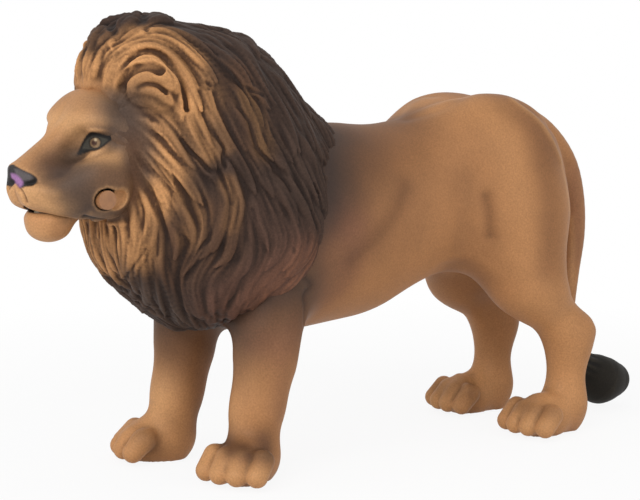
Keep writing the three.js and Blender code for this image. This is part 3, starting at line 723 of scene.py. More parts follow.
def hind_leg_lump(side):
    centre_x = side * HIND_STANCE * HALF
    paw_y = HIND_Y + side * HIND_STEP
    hip = on_body([0.5 * side, 0.45, 0.66])
    knee = on_body([0.72 * side, 0.455, 0.46])
    hock_back, hock_up_share, heel_shares = 1.2, 0.3, [0.95, 0.1]
    hock = [centre_x, paw_y + HIND_LEAN + hock_back, BACK_HEIGHT * hock_up_share]
    heel = [centre_x, paw_y + HIND_LEAN * heel_shares[0], BACK_HEIGHT * heel_shares[1]]
    hock_girth_share, shank_girth_share = 0.82, 0.96
    leg = leg_lump([hip, knee, hock, heel],
                   [THIGH_GIRTH * HALF, KNEE_GIRTH * HALF, HOCK_GIRTH * HALF * hock_girth_share,
                    SHANK_GIRTH * HALF * shank_girth_share])
    heel_back = 0.8
    whole = melt(PAW_MELT, leg, paw_lump(centre_x, paw_y, HIND_LEAN, heel_back, -side * HIND_TURN))
    return within(whole, *leg_box(centre_x, paw_y, THIGH_GIRTH, BACK_HEIGHT))


def tail_lump():
    girth_shares = [0.74, 0.62, 0.56, 0.53, 0.5, 0.46, 0.41, 0.35, 0.3]
    place_shares = [
        [0, 0.5, 0.965], [0, 0.615, 0.91], [0, 0.695, 0.82], [0, 0.73, 0.71], [0, 0.738, 0.59],
        [0, 0.722, 0.46], [0, 0.712, 0.32], [0, 0.735, 0.21], [0, 0.79, 0.15],
    ]
    rows = [[*on_body(place), TAIL_GIRTH * girth] for place, girth in zip(place_shares, girth_shares)]
    spacing, bend_melt = 3.0, 1.0
    rows = curve_through(rows, spacing)
    bones = [bone(start[:3], start[3], end[:3], end[3]) for start, end in zip(rows[:-1], rows[1:])]
    room = 14
    low, high = rows[:, :3].min(0) - room, rows[:, :3].max(0) + room
    return within(melt(bend_melt, *bones), low, high)


def body_lump():
    legs = [leg(side) for leg in (fore_leg_lump, hind_leg_lump) for side in (1, -1)]
    animal = melt(LEG_MELT, trunk_lump(), *legs)
    tail_melt = 4.0
    whole = melt(tail_melt, animal, tail_lump())
    return lambda x, y, z: np.maximum(whole(x, y, z), -z)


# Muscles and creases of the body, as routes in the photograph's pixels, a reach and a height
BODY_FORMS = [
    ([(463, 97), (452, 104), (430, 112), (408, 118)], 3.0, -0.7),
    ([(470, 103), (490, 100), (506, 101)], 7.0, 0.8),
    ([(512, 103), (534, 117), (549, 136), (560, 160)], 1.8, 0.5),
    ([(521, 104), (544, 120), (558, 140), (568, 163)], 2.2, -0.5),
    ([(540, 170), (549, 200), (551, 235), (549, 266)], 4.5, -0.5),
    ([(466, 185), (464, 205), (466, 225)], 6.0, -0.35),
    ([(486, 196), (489, 213), (490, 234)], 2.0, -0.45),
    ([(477, 185), (478, 205), (481, 228)], 2.6, 0.25),
    ([(407, 188), (398, 212), (379, 238), (354, 262)], 3.4, -0.55),
    ([(393, 188), (382, 210), (364, 232), (342, 252)], 5.0, 0.5),
    ([(330, 240), (335, 262), (345, 285)], 6.0, -0.4),
    ([(430, 268), (447, 259), (463, 256), (480, 261), (492, 272)], 2.6, 0.35),
    ([(505, 150), (516, 190), (520, 230), (512, 262)], 9.0, 0.7),
    ([(590, 320), (594, 328)], 3.0, 0.6),
    ([(305, 277), (312, 286), (305, 295), (306, 308), (305, 322)], 1.2, -0.7),
    ([(284, 345), (279, 380), (275, 415)], 3.2, 0.4),
    ([(246, 350), (243, 385), (240, 415)], 3.2, -0.3),
    ([(455, 372), (461, 378), (467, 387)], 1.6, 0.5),
    ([(472, 374), (474, 384), (472, 394)], 1.8, -0.6),
    ([(120, 436), (129, 432), (137, 438)], 2.4, 0.5),
]
# Paint of the body: a reach, a colour and a strength. Besides the toy's own tones it holds painted shadow,
# shade and light, marked row by row.
BODY_PAINT = [
    ([(430, 98), (470, 102), (500, 112)], 8.0, GOLD_TAN, 0.5),
    ([(500, 98), (526, 112), (546, 140)], 9.0, DEEP_TAN, 0.75),
    ([(500, 118), (512, 160), (518, 205), (524, 250), (538, 300)], 7.0, GOLD_TAN, 0.5),
    ([(326, 128), (350, 125), (372, 123), (396, 119)], 12.0, BROWN, 0.75),
    ([(396, 119), (416, 112), (440, 104), (462, 99)], 2.4, BROWN, 0.35),
    ([(408, 106), (430, 98)], 5.0, GOLD_TAN, 0.7),
    ([(352, 140), (352, 175), (348, 215)], 10.0, BROWN, 0.85),
    ([(378, 140), (380, 165)], 11.0, BROWN, 0.65),
    # painted shadow: near black right behind and under the mane's edge
    ([(328, 135), (331, 190), (328, 230)], 11.0, MANE_DARK, 1.0),
    ([(355, 235), (345, 262)], 8.0, RUSSET, 0.75),
    # painted shadow under the mane's edge again
    ([(322, 215), (321, 236)], 7.0, MANE_DARK, 0.85),
    ([(332, 262), (328, 292)], 8.0, RUSSET, 1.0),
    # painted light: paler paint that offsets the mane's shadow here
    ([(331, 266), (328, 306)], 7.0, TAN, 0.45),
    # painted shade in the creases and hollows of the ribs, belly, flank and haunch, in this row and the next
    # five
    ([(408, 150), (408, 190), (390, 235)], 12.0, DEEP_TAN, 0.45),
    ([(405, 190), (396, 213), (377, 239), (354, 260)], 4.0, BROWN, 0.3),
    ([(450, 270), (466, 262), (480, 275)], 6.0, DEEP_TAN, 0.45),
    ([(466, 186), (468, 208), (470, 232)], 9.0, DEEP_TAN, 0.3),
    ([(487, 198), (490, 214), (491, 234)], 2.4, DEEP_TAN, 0.6),
    ([(548, 150), (552, 195), (552, 240), (550, 268)], 7.0, DEEP_TAN, 0.6),
    ([(576, 170), (578, 220), (577, 255)], 5.0, RUSSET, 0.6),
    ([(505, 112), (528, 126), (543, 146)], 4.0, DEEP_TAN, 0.35),
    # painted highlight along the haunch's rear ridge
    ([(512, 103), (534, 117), (549, 136), (560, 160), (567, 190), (571, 224), (572, 252), (572, 285)],
     1.2, PALE_TAN, 0.35),
    ([(480, 285), (490, 310), (494, 340)], 7.0, DEEP_TAN, 0.35),
    ([(462, 280), (478, 320), (482, 350)], 7.0, DEEP_TAN, 0.3),
    ([(204, 466), (235, 472), (264, 474)], 6.0, PALE_TAN, 0.4),
    ([(512, 426), (540, 428), (562, 428)], 6.0, GOLD_TAN, 0.6),
    ([(432, 400), (455, 404)], 5.0, GOLD_TAN, 0.5),
    ([(556, 320), (562, 350), (566, 395)], 9.0, GOLD_TAN, 0.8),
    ([(152, 350), (160, 390), (158, 425)], 8.0, GOLD_TAN, 0.8),
    ([(156, 396), (158, 425)], 7.0, PALE_TAN, 0.6),
    ([(120, 442), (150, 448), (176, 440)], 8.0, GOLD_TAN, 0.8),
    ([(434, 394), (456, 384), (478, 380)], 9.0, PALE_TAN, 0.5),
    ([(236, 352), (240, 376)], 8.0, GOLD_TAN, 0.6),
    # painted shadow of the mane on the near shoulder, fading down in the next row
    ([(232, 300), (262, 304), (298, 296)], 15.0, MANE_DARK, 1.0),
    ([(236, 318), (262, 324), (294, 316)], 6.5, BROWN, 0.7),
    ([(250, 340), (268, 344), (294, 338)], 6.0, RUSSET, 0.5),
    ([(284, 350), (281, 380), (278, 410)], 3.6, RUSSET, 0.4),
    # painted shadow of the mane on the far foreleg, fading down in the next row
    ([(165, 315), (190, 322), (210, 322)], 13.0, MANE_DARK, 1.0),
    ([(165, 342), (190, 346), (210, 344)], 7.0, BROWN, 0.7),
    ([(196, 345), (200, 380), (200, 415)], 6.0, DEEP_TAN, 0.8),
    ([(184, 440), (180, 452)], 4.0, DEEP_TAN, 0.2),
    # painted shade from here to the end of the table: in the hollows between and behind the toes, and in the
    # hock's crease
    ([(140, 434), (150, 438), (158, 450)], 3.6, BROWN, 0.5),
    ([(222, 438), (231, 450)], 3.2, BROWN, 1.0),
    ([(242, 448), (248, 455)], 3.2, BROWN, 1.0),
    ([(264, 442), (268, 456)], 3.6, BROWN, 1.0),
    ([(226, 440), (246, 447), (268, 452)], 2.4, MANE_DARK, 0.4),
    ([(228, 434), (246, 440), (266, 436)], 3.6, DEEP_TAN, 0.35),
    ([(519, 405), (536, 409), (553, 411)], 3.2, BROWN, 0.5),
    ([(463, 385), (472, 392)], 4.0, BROWN, 0.5),
]


def make_body():
    lump = body_lump()
    cell, room = 0.7, 8
    side_share = 0.75
    low = [-BODY_WIDTH * side_share, HINGE_Y - room, -room]
    high = [BODY_WIDTH * side_share, HIND_Y + PAW_LENGTH + room, BACK_HEIGHT + room * 2]
    points, quads = skin_of(lump, cell, low, high)
    paint = airbrushed(coat(TAN, points), points, lump, BODY_PAINT)
    standing = np.clip(points[:, 2:] - SOLE_FLAT, 0, 1)
    points = pushed(points, outward(lump, points, cell) * standing, lump, BODY_FORMS)
    fine, broad = relief_of(points, quads, rounds=4), relief_of(points, quads, rounds=30)
    # Painted shade in the sunk creases and hollows, and a pale painted highlight on the broad raised forms
    paint = crease_shaded(paint, fine, depth=0.2, dark_share=0.45, strength=0.5)
    paint = crease_shaded(paint, broad, depth=1.2, dark_share=0.6, strength=0.35)
    paint = relief_highlighted(paint, broad, height=1.2, layer=PALE_TAN, strength=0.12)
    return add_piece("body", points, quads, paint, vinyl, "figure",
                     ["rear_body", "chest_body", "left_foreleg", "right_foreleg", "left_hind_leg",
                      "right_hind_leg", "tail"])


def tuft_lump():
    """A spindle with strands twisted round it."""
    radius = TUFT_GIRTH * HALF
    middle_share, end_sink_share = 0.42, 0.1
    start = on_body([0, 0.765, 0.165])
    middle = [0, start[1] + TUFT_LENGTH * middle_share, radius + TUFT_RISE]
    end = [0, start[1] + TUFT_LENGTH - radius, middle[2] - radius * end_sink_share]
    girth_shares = [0.52, 0.94, 0.72]
    girths = [radius * share for share in girth_shares]
    core = melt(radius, bone(start, girths[0], middle, girths[1]), bone(middle, girths[1], end, girths[2]))
    strand_count, twist, bend_melt, strand_melt = 11, 0.5, 1.0, 0.5
    reach_shares, taper_shares = [0.46, 0.8, 0.58], [0.7, 1, 0.8]
    least_girth_share, more_girth_share, girth_kinds = 0.23, 0.04, 3
    strands = []
    for number in range(strand_count):
        angle = 2 * math.pi * number / strand_count
        turns = [angle, angle + twist * HALF, angle + twist]
        reaches = [radius * share for share in reach_shares]
        spots = [[math.cos(turn) * reach, along, up + math.sin(turn) * reach]
                 for turn, reach, (_, along, up) in zip(turns, reaches, (start, middle, end))]
        girth = radius * (least_girth_share + more_girth_share * (number % girth_kinds))
        root, full, tip = [girth * share for share in taper_shares]
        strands.append(melt(bend_melt, bone(spots[0], root, spots[1], full),
                            bone(spots[1], full, spots[2], tip)))
    return melt(strand_melt, core, *strands)


def make_tuft():
    lump = tuft_lump()
    low = [-TUFT_GIRTH, HIND_Y - TUFT_GIRTH, -TUFT_GIRTH]
    high = [TUFT_GIRTH, HIND_Y + WHEELBASE * HALF, BACK_HEIGHT * HALF]
    cell = 0.45
    points, quads = skin_of(lump, cell, low, high)
    relief, full_relief = relief_of(points, quads, rounds=8), 0.3
    # A pale painted highlight on the strands' tops, and painted shade, near black, between them
    paint = relief_highlighted(coat(TUFT_DARK, points), relief, height=full_relief, layer=TUFT_PALE, strength=0.55)
    paint = blended(paint, NOSE_BLACK, rising(-relief, full_relief))
    add_piece("tuft", points, quads, paint, hair, "figure", ["tail_tuft"])


vinyl = painted_vinyl("painted_vinyl", speckle=0.17)
hair = painted_vinyl("painted_hair", 1.2, roughness=0.6, grain=0.07, speckle=0.2)
make_body()
make_tuft()


# Head
def on_head(shares):
    across, ahead, up = shares
    return [across * HEAD_WIDTH * HALF, HINGE_Y - ahead * FACE_LENGTH, HINGE_Z + up * HEAD_HEIGHT]


head_egg = eggs_on(on_head, [HEAD_WIDTH * HALF, FACE_LENGTH, HEAD_HEIGHT])


def bridge_lump():
    """The bridge of the nose: a rod along its middle, with a thinner one on each side."""
    top, end = on_head([0, 0.26, 0.358]), on_head([0, 0.9, 0.176])
    top_radius, end_radius, side_top_radius, side_end_radius = 3.8, 2.9, 3.4, 2.6
    side_top, side_end, melt_width = 1.6, 2.0, 2.0
    beside = bone([side_top, top[1], top[2]], side_top_radius, [side_end, end[1], end[2]], side_end_radius)
    return pair(melt(melt_width, beside, bone(top, top_radius, end, end_radius)))


def head_lump():
    return melt(
        HEAD_MELT,
        head_egg([0, -0.56, 0.37], [0.95, 0.72, 0.33]),
        head_egg([0, -0.09, 0.5], [0.46, 0.24, 0.09]),
        head_egg([0, -0.2, 0.58], [0.5, 0.26, 0.1]),
        pair(head_egg([0.42, -0.12, 0.49], [0.34, 0.29, 0.1])),
        pair(head_egg([0.48, 0.26, -0.01], [0.15, 0.42, 0.1])),
        pair(head_egg([0.55, -0.1, 0.075], [0.46, 0.55, 0.215])),
        bridge_lump(),
        pair(head_egg([0.27, 0.43, 0.068], [0.38, 0.46, 0.112])),
        pair(head_egg([0.2, 0.64, 0.085], [0.22, 0.26, 0.075])),
        pair(head_egg([0.16, 0.68, 0.01], [0.2, 0.22, 0.045])),
    )


# Lower jaw
CHIN_AHEAD_SHARE, MOUTH_UP_SHARE = 0.51, 0.25
CHIN_Y = HINGE_Y - JAW_LENGTH * CHIN_AHEAD_SHARE
CHIN_Z = HINGE_Z - JAW_DROP
MOUTH_Z = CHIN_Z + JAW_DEPTH * HALF + MOUTH_HEIGHT * MOUTH_UP_SHARE


def on_jaw(shares):
    across, ahead, up = shares
    return [across * JAW_WIDTH, CHIN_Y - ahead * JAW_LENGTH, CHIN_Z + up * JAW_DEPTH]


jaw_egg = eggs_on(on_jaw, [JAW_WIDTH, JAW_LENGTH, JAW_DEPTH])


def jaw_lump():
    """The chin with its lip, and the arms that reach back to the hinge."""
    lip_girth_share, arm_girth_share, melt_share = 0.3, 0.27, 0.4
    chin = jaw_egg([0, 0.09, 0], [HALF, 0.33, 0.48])
    lip_girth = JAW_DEPTH * lip_girth_share
    lip = bone(on_jaw([0, 0.24, 0.26]), lip_girth, on_jaw([0.24, 0.132, 0.26]), lip_girth)
    arm_end = [ARM_SPREAD * HALF, HINGE_Y, HINGE_Z]
    arm = bone(on_jaw([0.3, 0, 0.2]), JAW_DEPTH * arm_girth_share, arm_end, ARM_THICKNESS * HALF)
    return melt(JAW_DEPTH * melt_share, chin, pair(lip), pair(arm))


def swept(lump, room):
    """The space that the jaw needs as it opens."""
    steps, over_travel = 9, 2
    turns = [math.radians((JAW_OPENING + over_travel) * step / (steps - 1)) for step in range(steps)]

    def distance(x, y, z):
        dy, dz = y - HINGE_Y, z - HINGE_Z
        near = None
        for turn in turns:
            cos, sin = math.cos(turn), math.sin(turn)
            here = lump(x, HINGE_Y + dy * cos + dz * sin, HINGE_Z + dz * cos - dy * sin)
            near = here if near is None else np.minimum(near, here)
        return near - room
    return distance


def mouth_lump():
    narrow_share = 0.84
    halves = [MOUTH_WIDTH * HALF * narrow_share, MOUTH_LENGTH * HALF, MOUTH_HEIGHT * HALF]
    return egg([0, CHIN_Y, MOUTH_Z], halves)


def jaw_room(room):
    reach = 12
    low = [-ARM_SPREAD, HINGE_Y - FACE_LENGTH - reach, CHIN_Z - JAW_DEPTH - reach]
    high = [ARM_SPREAD, HINGE_Y + reach, HINGE_Z + reach]
    return within(swept(jaw_lump(), room), low, high)


# Forms of the head, as routes in the photograph's pixels, a reach and a height
HEAD_FORMS = [
    ([(66, 127), (76, 122), (88, 120), (100, 122)], 3.0, 0.7),
    ([(80, 149), (88, 143), (99, 140), (109, 140)], 3.6, -1.7),
    ([(66, 146), (72, 140), (80, 133)], 2.4, -0.6),
    ([(94.5, 142.5)], 2.4, 1.5),
    ([(76, 153.5), (79, 147), (84, 138.5), (90, 131.5), (97, 131), (106, 133.5), (115, 136)], 0.8, 0.75),
    ([(78, 156.5), (86, 154.5), (95, 152), (102, 149), (109, 143.5), (115, 139)], 0.8, 0.5),
    ([(84, 159), (95, 157), (106, 152), (114, 146)], 1.4, -0.35),
    ([(70, 153), (62, 162), (53, 172), (46, 180)], 3.4, -1.0),
    ([(104, 168), (116, 173), (126, 184)], 6.0, 0.8),
    ([(44, 196), (58, 204), (72, 207)], 3.6, 0.6),
    ([(37, 188), (46, 190), (56, 194)], 1.6, 0.3),
    ([(39, 181), (48, 176), (58, 172)], 1.4, -0.35),
    ([(10, 169), (16, 167), (24, 171), (32, 175)], 1.2, 0.35),
    ([(27, 183.5), (31, 183), (35, 181)], 0.8, -1.0),
    ([(13, 182), (17, 187), (21, 191.5), (24, 197), (26, 202)], 0.7, -0.9),
    ([(85, 217), (97, 220), (111, 221), (126, 229)], 1.0, -0.8),
    ([(92, 213), (104, 214.5), (118, 218)], 1.6, 0.4),
]
# Paint of the head: a reach, a colour and a strength
HEAD_PAINT = [
    ([(62, 100), (84, 97), (108, 100)], 8.0, DEEP_TAN, 0.35),
    ([(58, 122), (68, 126), (76, 132)], 4.0, PALE_TAN, 0.85),
    ([(84, 122), (98, 123), (110, 127)], 2.6, PALE_TAN, 0.35),
    ([(56, 136), (44, 150), (28, 163)], 4.0, GOLD_TAN, 0.7),
    ([(122, 108), (128, 124), (130, 146)], 7.5, GREY_BROWN, 1.0),
    ([(116, 122), (122, 136), (130, 152)], 5.0, GREY_BROWN, 0.85),
    ([(126, 112), (137, 132), (140, 160)], 6.0, GREY_BROWN, 0.8),
    ([(72, 158), (65, 164), (56, 170)], 3.6, GREY_BROWN, 0.7),
    ([(68, 172), (74, 184), (80, 192), (88, 200)], 9.0, GREY_BROWN, 1.0),
    ([(72, 182), (80, 196), (92, 206)], 7.0, GREY_BROWN, 0.8),
    ([(50, 164), (52, 178), (58, 192)], 5.5, BROWN, 0.7),
    ([(92, 172), (110, 172), (130, 164)], 8.0, GREY_BROWN, 0.85),
    ([(94, 188), (110, 188), (128, 192)], 7.0, BROWN, 0.85),
    ([(84, 192), (92, 206), (102, 214), (114, 216)], 5.0, GREY_BROWN, 1.0),
    ([(66, 202), (80, 210), (96, 219), (112, 224), (126, 222)], 3.6, GREY_BROWN, 0.85),
    ([(80, 172), (92, 186), (92, 198)], 6.0, GREY_BROWN, 0.95),
    ([(104, 182), (118, 184), (132, 194), (134, 210)], 5.0, BROWN, 0.75),
    ([(134, 150), (140, 168), (140, 186)], 5.0, BROWN, 0.65),
    ([(90, 156), (104, 156), (114, 158)], 2.8, PALE_TAN, 0.65),
    ([(26, 190), (40, 198), (54, 208)], 4.0, PALE_TAN, 0.65),
    ([(66, 172), (74, 188), (84, 198)], 6.0, MANE_DARK, 0.6),
    ([(92, 186), (108, 184), (126, 186)], 5.0, MANE_DARK, 0.35),
    ([(124, 116), (130, 132), (132, 150), (126, 168)], 4.5, MANE_DARK, 0.35),
    ([(71, 158), (73, 152), (77, 145)], 1.2, EYE_BLACK, 0.6),
]
# Outlines of the painted nose and eye, in the photograph's pixels
NOSE_PAD = [(2, 173), (6, 166), (12, 164), (17.6, 167), (24.2, 170.5), (31.5, 173.8), (35.8, 176.8),
            (37.5, 180), (35.8, 183.5), (32.1, 186), (26.1, 186.6), (20.6, 188), (17, 184.8),
            (12.1, 180), (5, 177)]
NOSE_CORE = [(14, 168.5), (18, 169), (24, 172), (31, 175.5), (33, 179), (28, 181), (22, 180), (16, 175)]
NOSE_PATCH = [(9, 174.5), (13, 173.5), (18, 176), (22.5, 181), (23, 184), (20, 187.5), (17, 184.5),
              (12, 180)]
NOSTRIL = [(26, 182), (30, 180.5), (35, 179), (36, 182), (32, 185), (27, 185.5)]
EYE_OUTLINE = [(76.3, 155), (78, 151.6), (82.8, 141.3), (85.9, 136.1), (90, 132.3), (95.5, 132.3),
               (102.4, 133.8), (107.6, 135.3), (112.8, 135.6), (115.5, 137.6), (110, 141.3), (104.2, 146.1),
               (99, 149.5), (94.9, 150.9), (90.4, 151.5), (83.5, 154), (78.3, 155.6)]
EYE_OPENING = [(82, 149), (85, 142), (89, 137.5), (94, 136), (100, 137), (106, 138.5), (108, 140),
               (103, 144.5), (98.5, 148), (94, 149.3), (88, 149.5)]
CRISP, SOFT = 1.2, 2.6        # pixels over which a painted edge fades
# Painted in this order: an outline, a colour, a strength and the edge's softness
FACE_MARKS = [
    (NOSE_PAD, NOSE_BLACK, 1.0, CRISP),
    (NOSE_CORE, NOSE_GREY, 1.0, SOFT),
    (NOSE_PATCH, NOSE_MAUVE, 0.9, SOFT),
    (NOSTRIL, EYE_BLACK, 1.0, CRISP),
    (EYE_OUTLINE, EYE_BLACK, 1.0, CRISP),
    (EYE_OPENING, EYE_SLATE, 0.9, CRISP),
]
# Round marks inside the eye's opening: the iris with its dark rim, the pupil and a painted glint, a highlight
EYE_DISCS = [
    ((95.2, 142.9), 6.3, EYE_BLACK),
    ((95.2, 142.9), 5.0, IRIS),
    ((94.2, 142.8), 2.9, PUPIL),
    ((95.6, 139.8), 1.5, GLINT_CREAM),
]


def patch_amount(points, lump):
    """1 round the middle of the nose's patch and 0 away from it, on the lion's left side alone."""
    middle, reach, power = [(16, 180)], 4.4, 8
    left_side = np.clip(points[:, 0] + 1, 0, 1)
    return stroke_amount(points, seen(middle, lump), reach, power) * left_side


def face_paint(points, quads, lump, mouth):
    paint = airbrushed(coat(FACE_TAN, points), points, lump, HEAD_PAINT)
    fine = relief_of(points, quads, rounds=6)
    # Painted shade in the face's creases, and a pale painted highlight on its raised forms
    paint = crease_shaded(paint, fine, depth=0.1, dark_share=0.35, strength=0.75)
    paint = relief_highlighted(paint, fine, height=0.12, layer=PALE_TAN, strength=0.35)
    spots = pictured(points)
    for outline, shade, strength, softness in FACE_MARKS:
        amount = outline_amount(spots, outline, softness) * strength
        if outline is NOSE_PATCH:
            amount = amount * patch_amount(points, lump)
        paint = blended(paint, shade, amount)
    opening = outline_amount(spots, EYE_OPENING, CRISP)
    for place, reach, shade in EYE_DISCS:
        inside = reach - np.linalg.norm(spots - place, axis=1)
        paint = blended(paint, shade, np.clip(HALF + inside / CRISP, 0, 1) * opening)
    lining_share = 0.7
    return blended(paint, LIP_GREY * lining_share, near_amount(mouth, points, full_at=0.1, fade=0.5))


def peg_pocket():
    """The round pocket in each cheek that the peg's end lies in, and the shallow dish behind it."""
    peg_pixel, dish_pixel = (105.7, 201.2), (118.5, 200.3)
    depth, height, gap, dish_lift = 1.1, 6, 0.45, 0.3
    dish_shares = [1.05, 1.05, 1.15]
    head, radius = head_lump(), PEG_DIAMETER * HALF
    skin = seen([peg_pixel, dish_pixel], head)
    peg_place = np.array([skin[0][0], HINGE_Y, HINGE_Z])
    peg_out, dish_out = outward(head, skin)
    ring = bone(peg_place - peg_out * depth, radius + gap, peg_place + peg_out * height, radius + gap)
    dish = egg(skin[1] + dish_out * dish_lift, [radius * share for share in dish_shares])
    return pair(ring), pair(dish)


def outer_amount(lump, points, depth, fade):
    """1 at a lump's skin and 0 below that depth."""
    return np.clip((lump(*points.T) + depth) / fade, 0, 1)[:, None]


def make_head():
    ring, dish = peg_pocket()
    room = jaw_room(JAW_CLEARANCE)
    mouth = joined(room, mouth_lump())
    plain = head_lump()
    dish_rim, ring_rim, room_rim, mouth_rim = 0.4, 0.3, 0.5, 0.8
    whole = carved(carved(plain, dish, dish_rim), ring, ring_rim)
    lump = carved(carved(whole, room, room_rim), mouth_lump(), mouth_rim)
    cell, reach = 0.32, 5
    below_share, behind_share, above_share = 0.4, 0.6, 0.8
    low = [-HEAD_WIDTH * HALF - reach, HINGE_Y - FACE_LENGTH - reach * 2, HINGE_Z - HEAD_HEIGHT * below_share]
    high = [HEAD_WIDTH * HALF + reach, HINGE_Y + HEAD_HEIGHT * behind_share,
            HINGE_Z + HEAD_HEIGHT * above_share]
    points, quads = skin_of(lump, cell, low, high)
    ups = outward(plain, points, cell) * outer_amount(plain, points, depth=0.6, fade=0.5)
    points = pushed(points, ups, plain, HEAD_FORMS)
    paint = face_paint(points, quads, plain, mouth)
    paint = blended(paint, FACE_TAN, near_amount(dish, points, full_at=0.1, fade=0.3))
    # Painted shadow, near black, in the gap round the peg's end
    gap_shadow_strength = 0.9
    paint = blended(paint, EYE_BLACK, near_amount(ring, points, full_at=0.15, fade=0.35) * gap_shadow_strength)
    return add_piece("face", points, quads, paint, vinyl, "figure", ["head"])


JAW_FORMS = [
    ([(26, 216), (36, 219), (50, 221)], 1.6, 0.25),
    ([(30, 226), (42, 230), (56, 227)], 2.6, -0.2),
]
JAW_PAINT = [
    ([(28, 218), (40, 222), (55, 224)], 4.0, GOLD_TAN, 0.5),
    ([(60, 232), (70, 226), (80, 220)], 4.0, DEEP_TAN, 0.5),
    # painted shade along the seam where the jaw runs under the cheek
    ([(66, 219), (76, 218), (84, 218)], 2.0, BROWN, 0.5),
]


def make_jaw():
    plain, mouth_rim = jaw_lump(), 0.8
    lump = carved(plain, mouth_lump(), mouth_rim)
    cell, reach = 0.28, 5
    low = [-ARM_SPREAD * HALF - reach, HINGE_Y - JAW_LENGTH - reach, CHIN_Z - JAW_DEPTH - reach]
    high = [ARM_SPREAD * HALF + reach, HINGE_Y + reach, HINGE_Z + reach]
    points, quads = skin_of(lump, cell, low, high)
    ups = outward(plain, points, cell) * outer_amount(plain, points, depth=0.5, fade=0.4)
    points = pushed(points, ups, plain, JAW_FORMS)
    paint = airbrushed(coat(FACE_TAN, points), points, plain, JAW_PAINT)
    _, _, lip_height = on_jaw([0, 0, 0.42])
    lip_line, lip_fade = points[:, 2] - lip_height, 0.5
    inner = near_amount(mouth_lump(), points, full_at=0.1, fade=0.5)
    paint = blended(paint, LIP_GREY, np.maximum(inner, rising(lip_line, lip_fade)))
    return add_piece("chin", points, quads, paint, vinyl, "jaw", ["lower_jaw"])


make_head()
make_jaw()


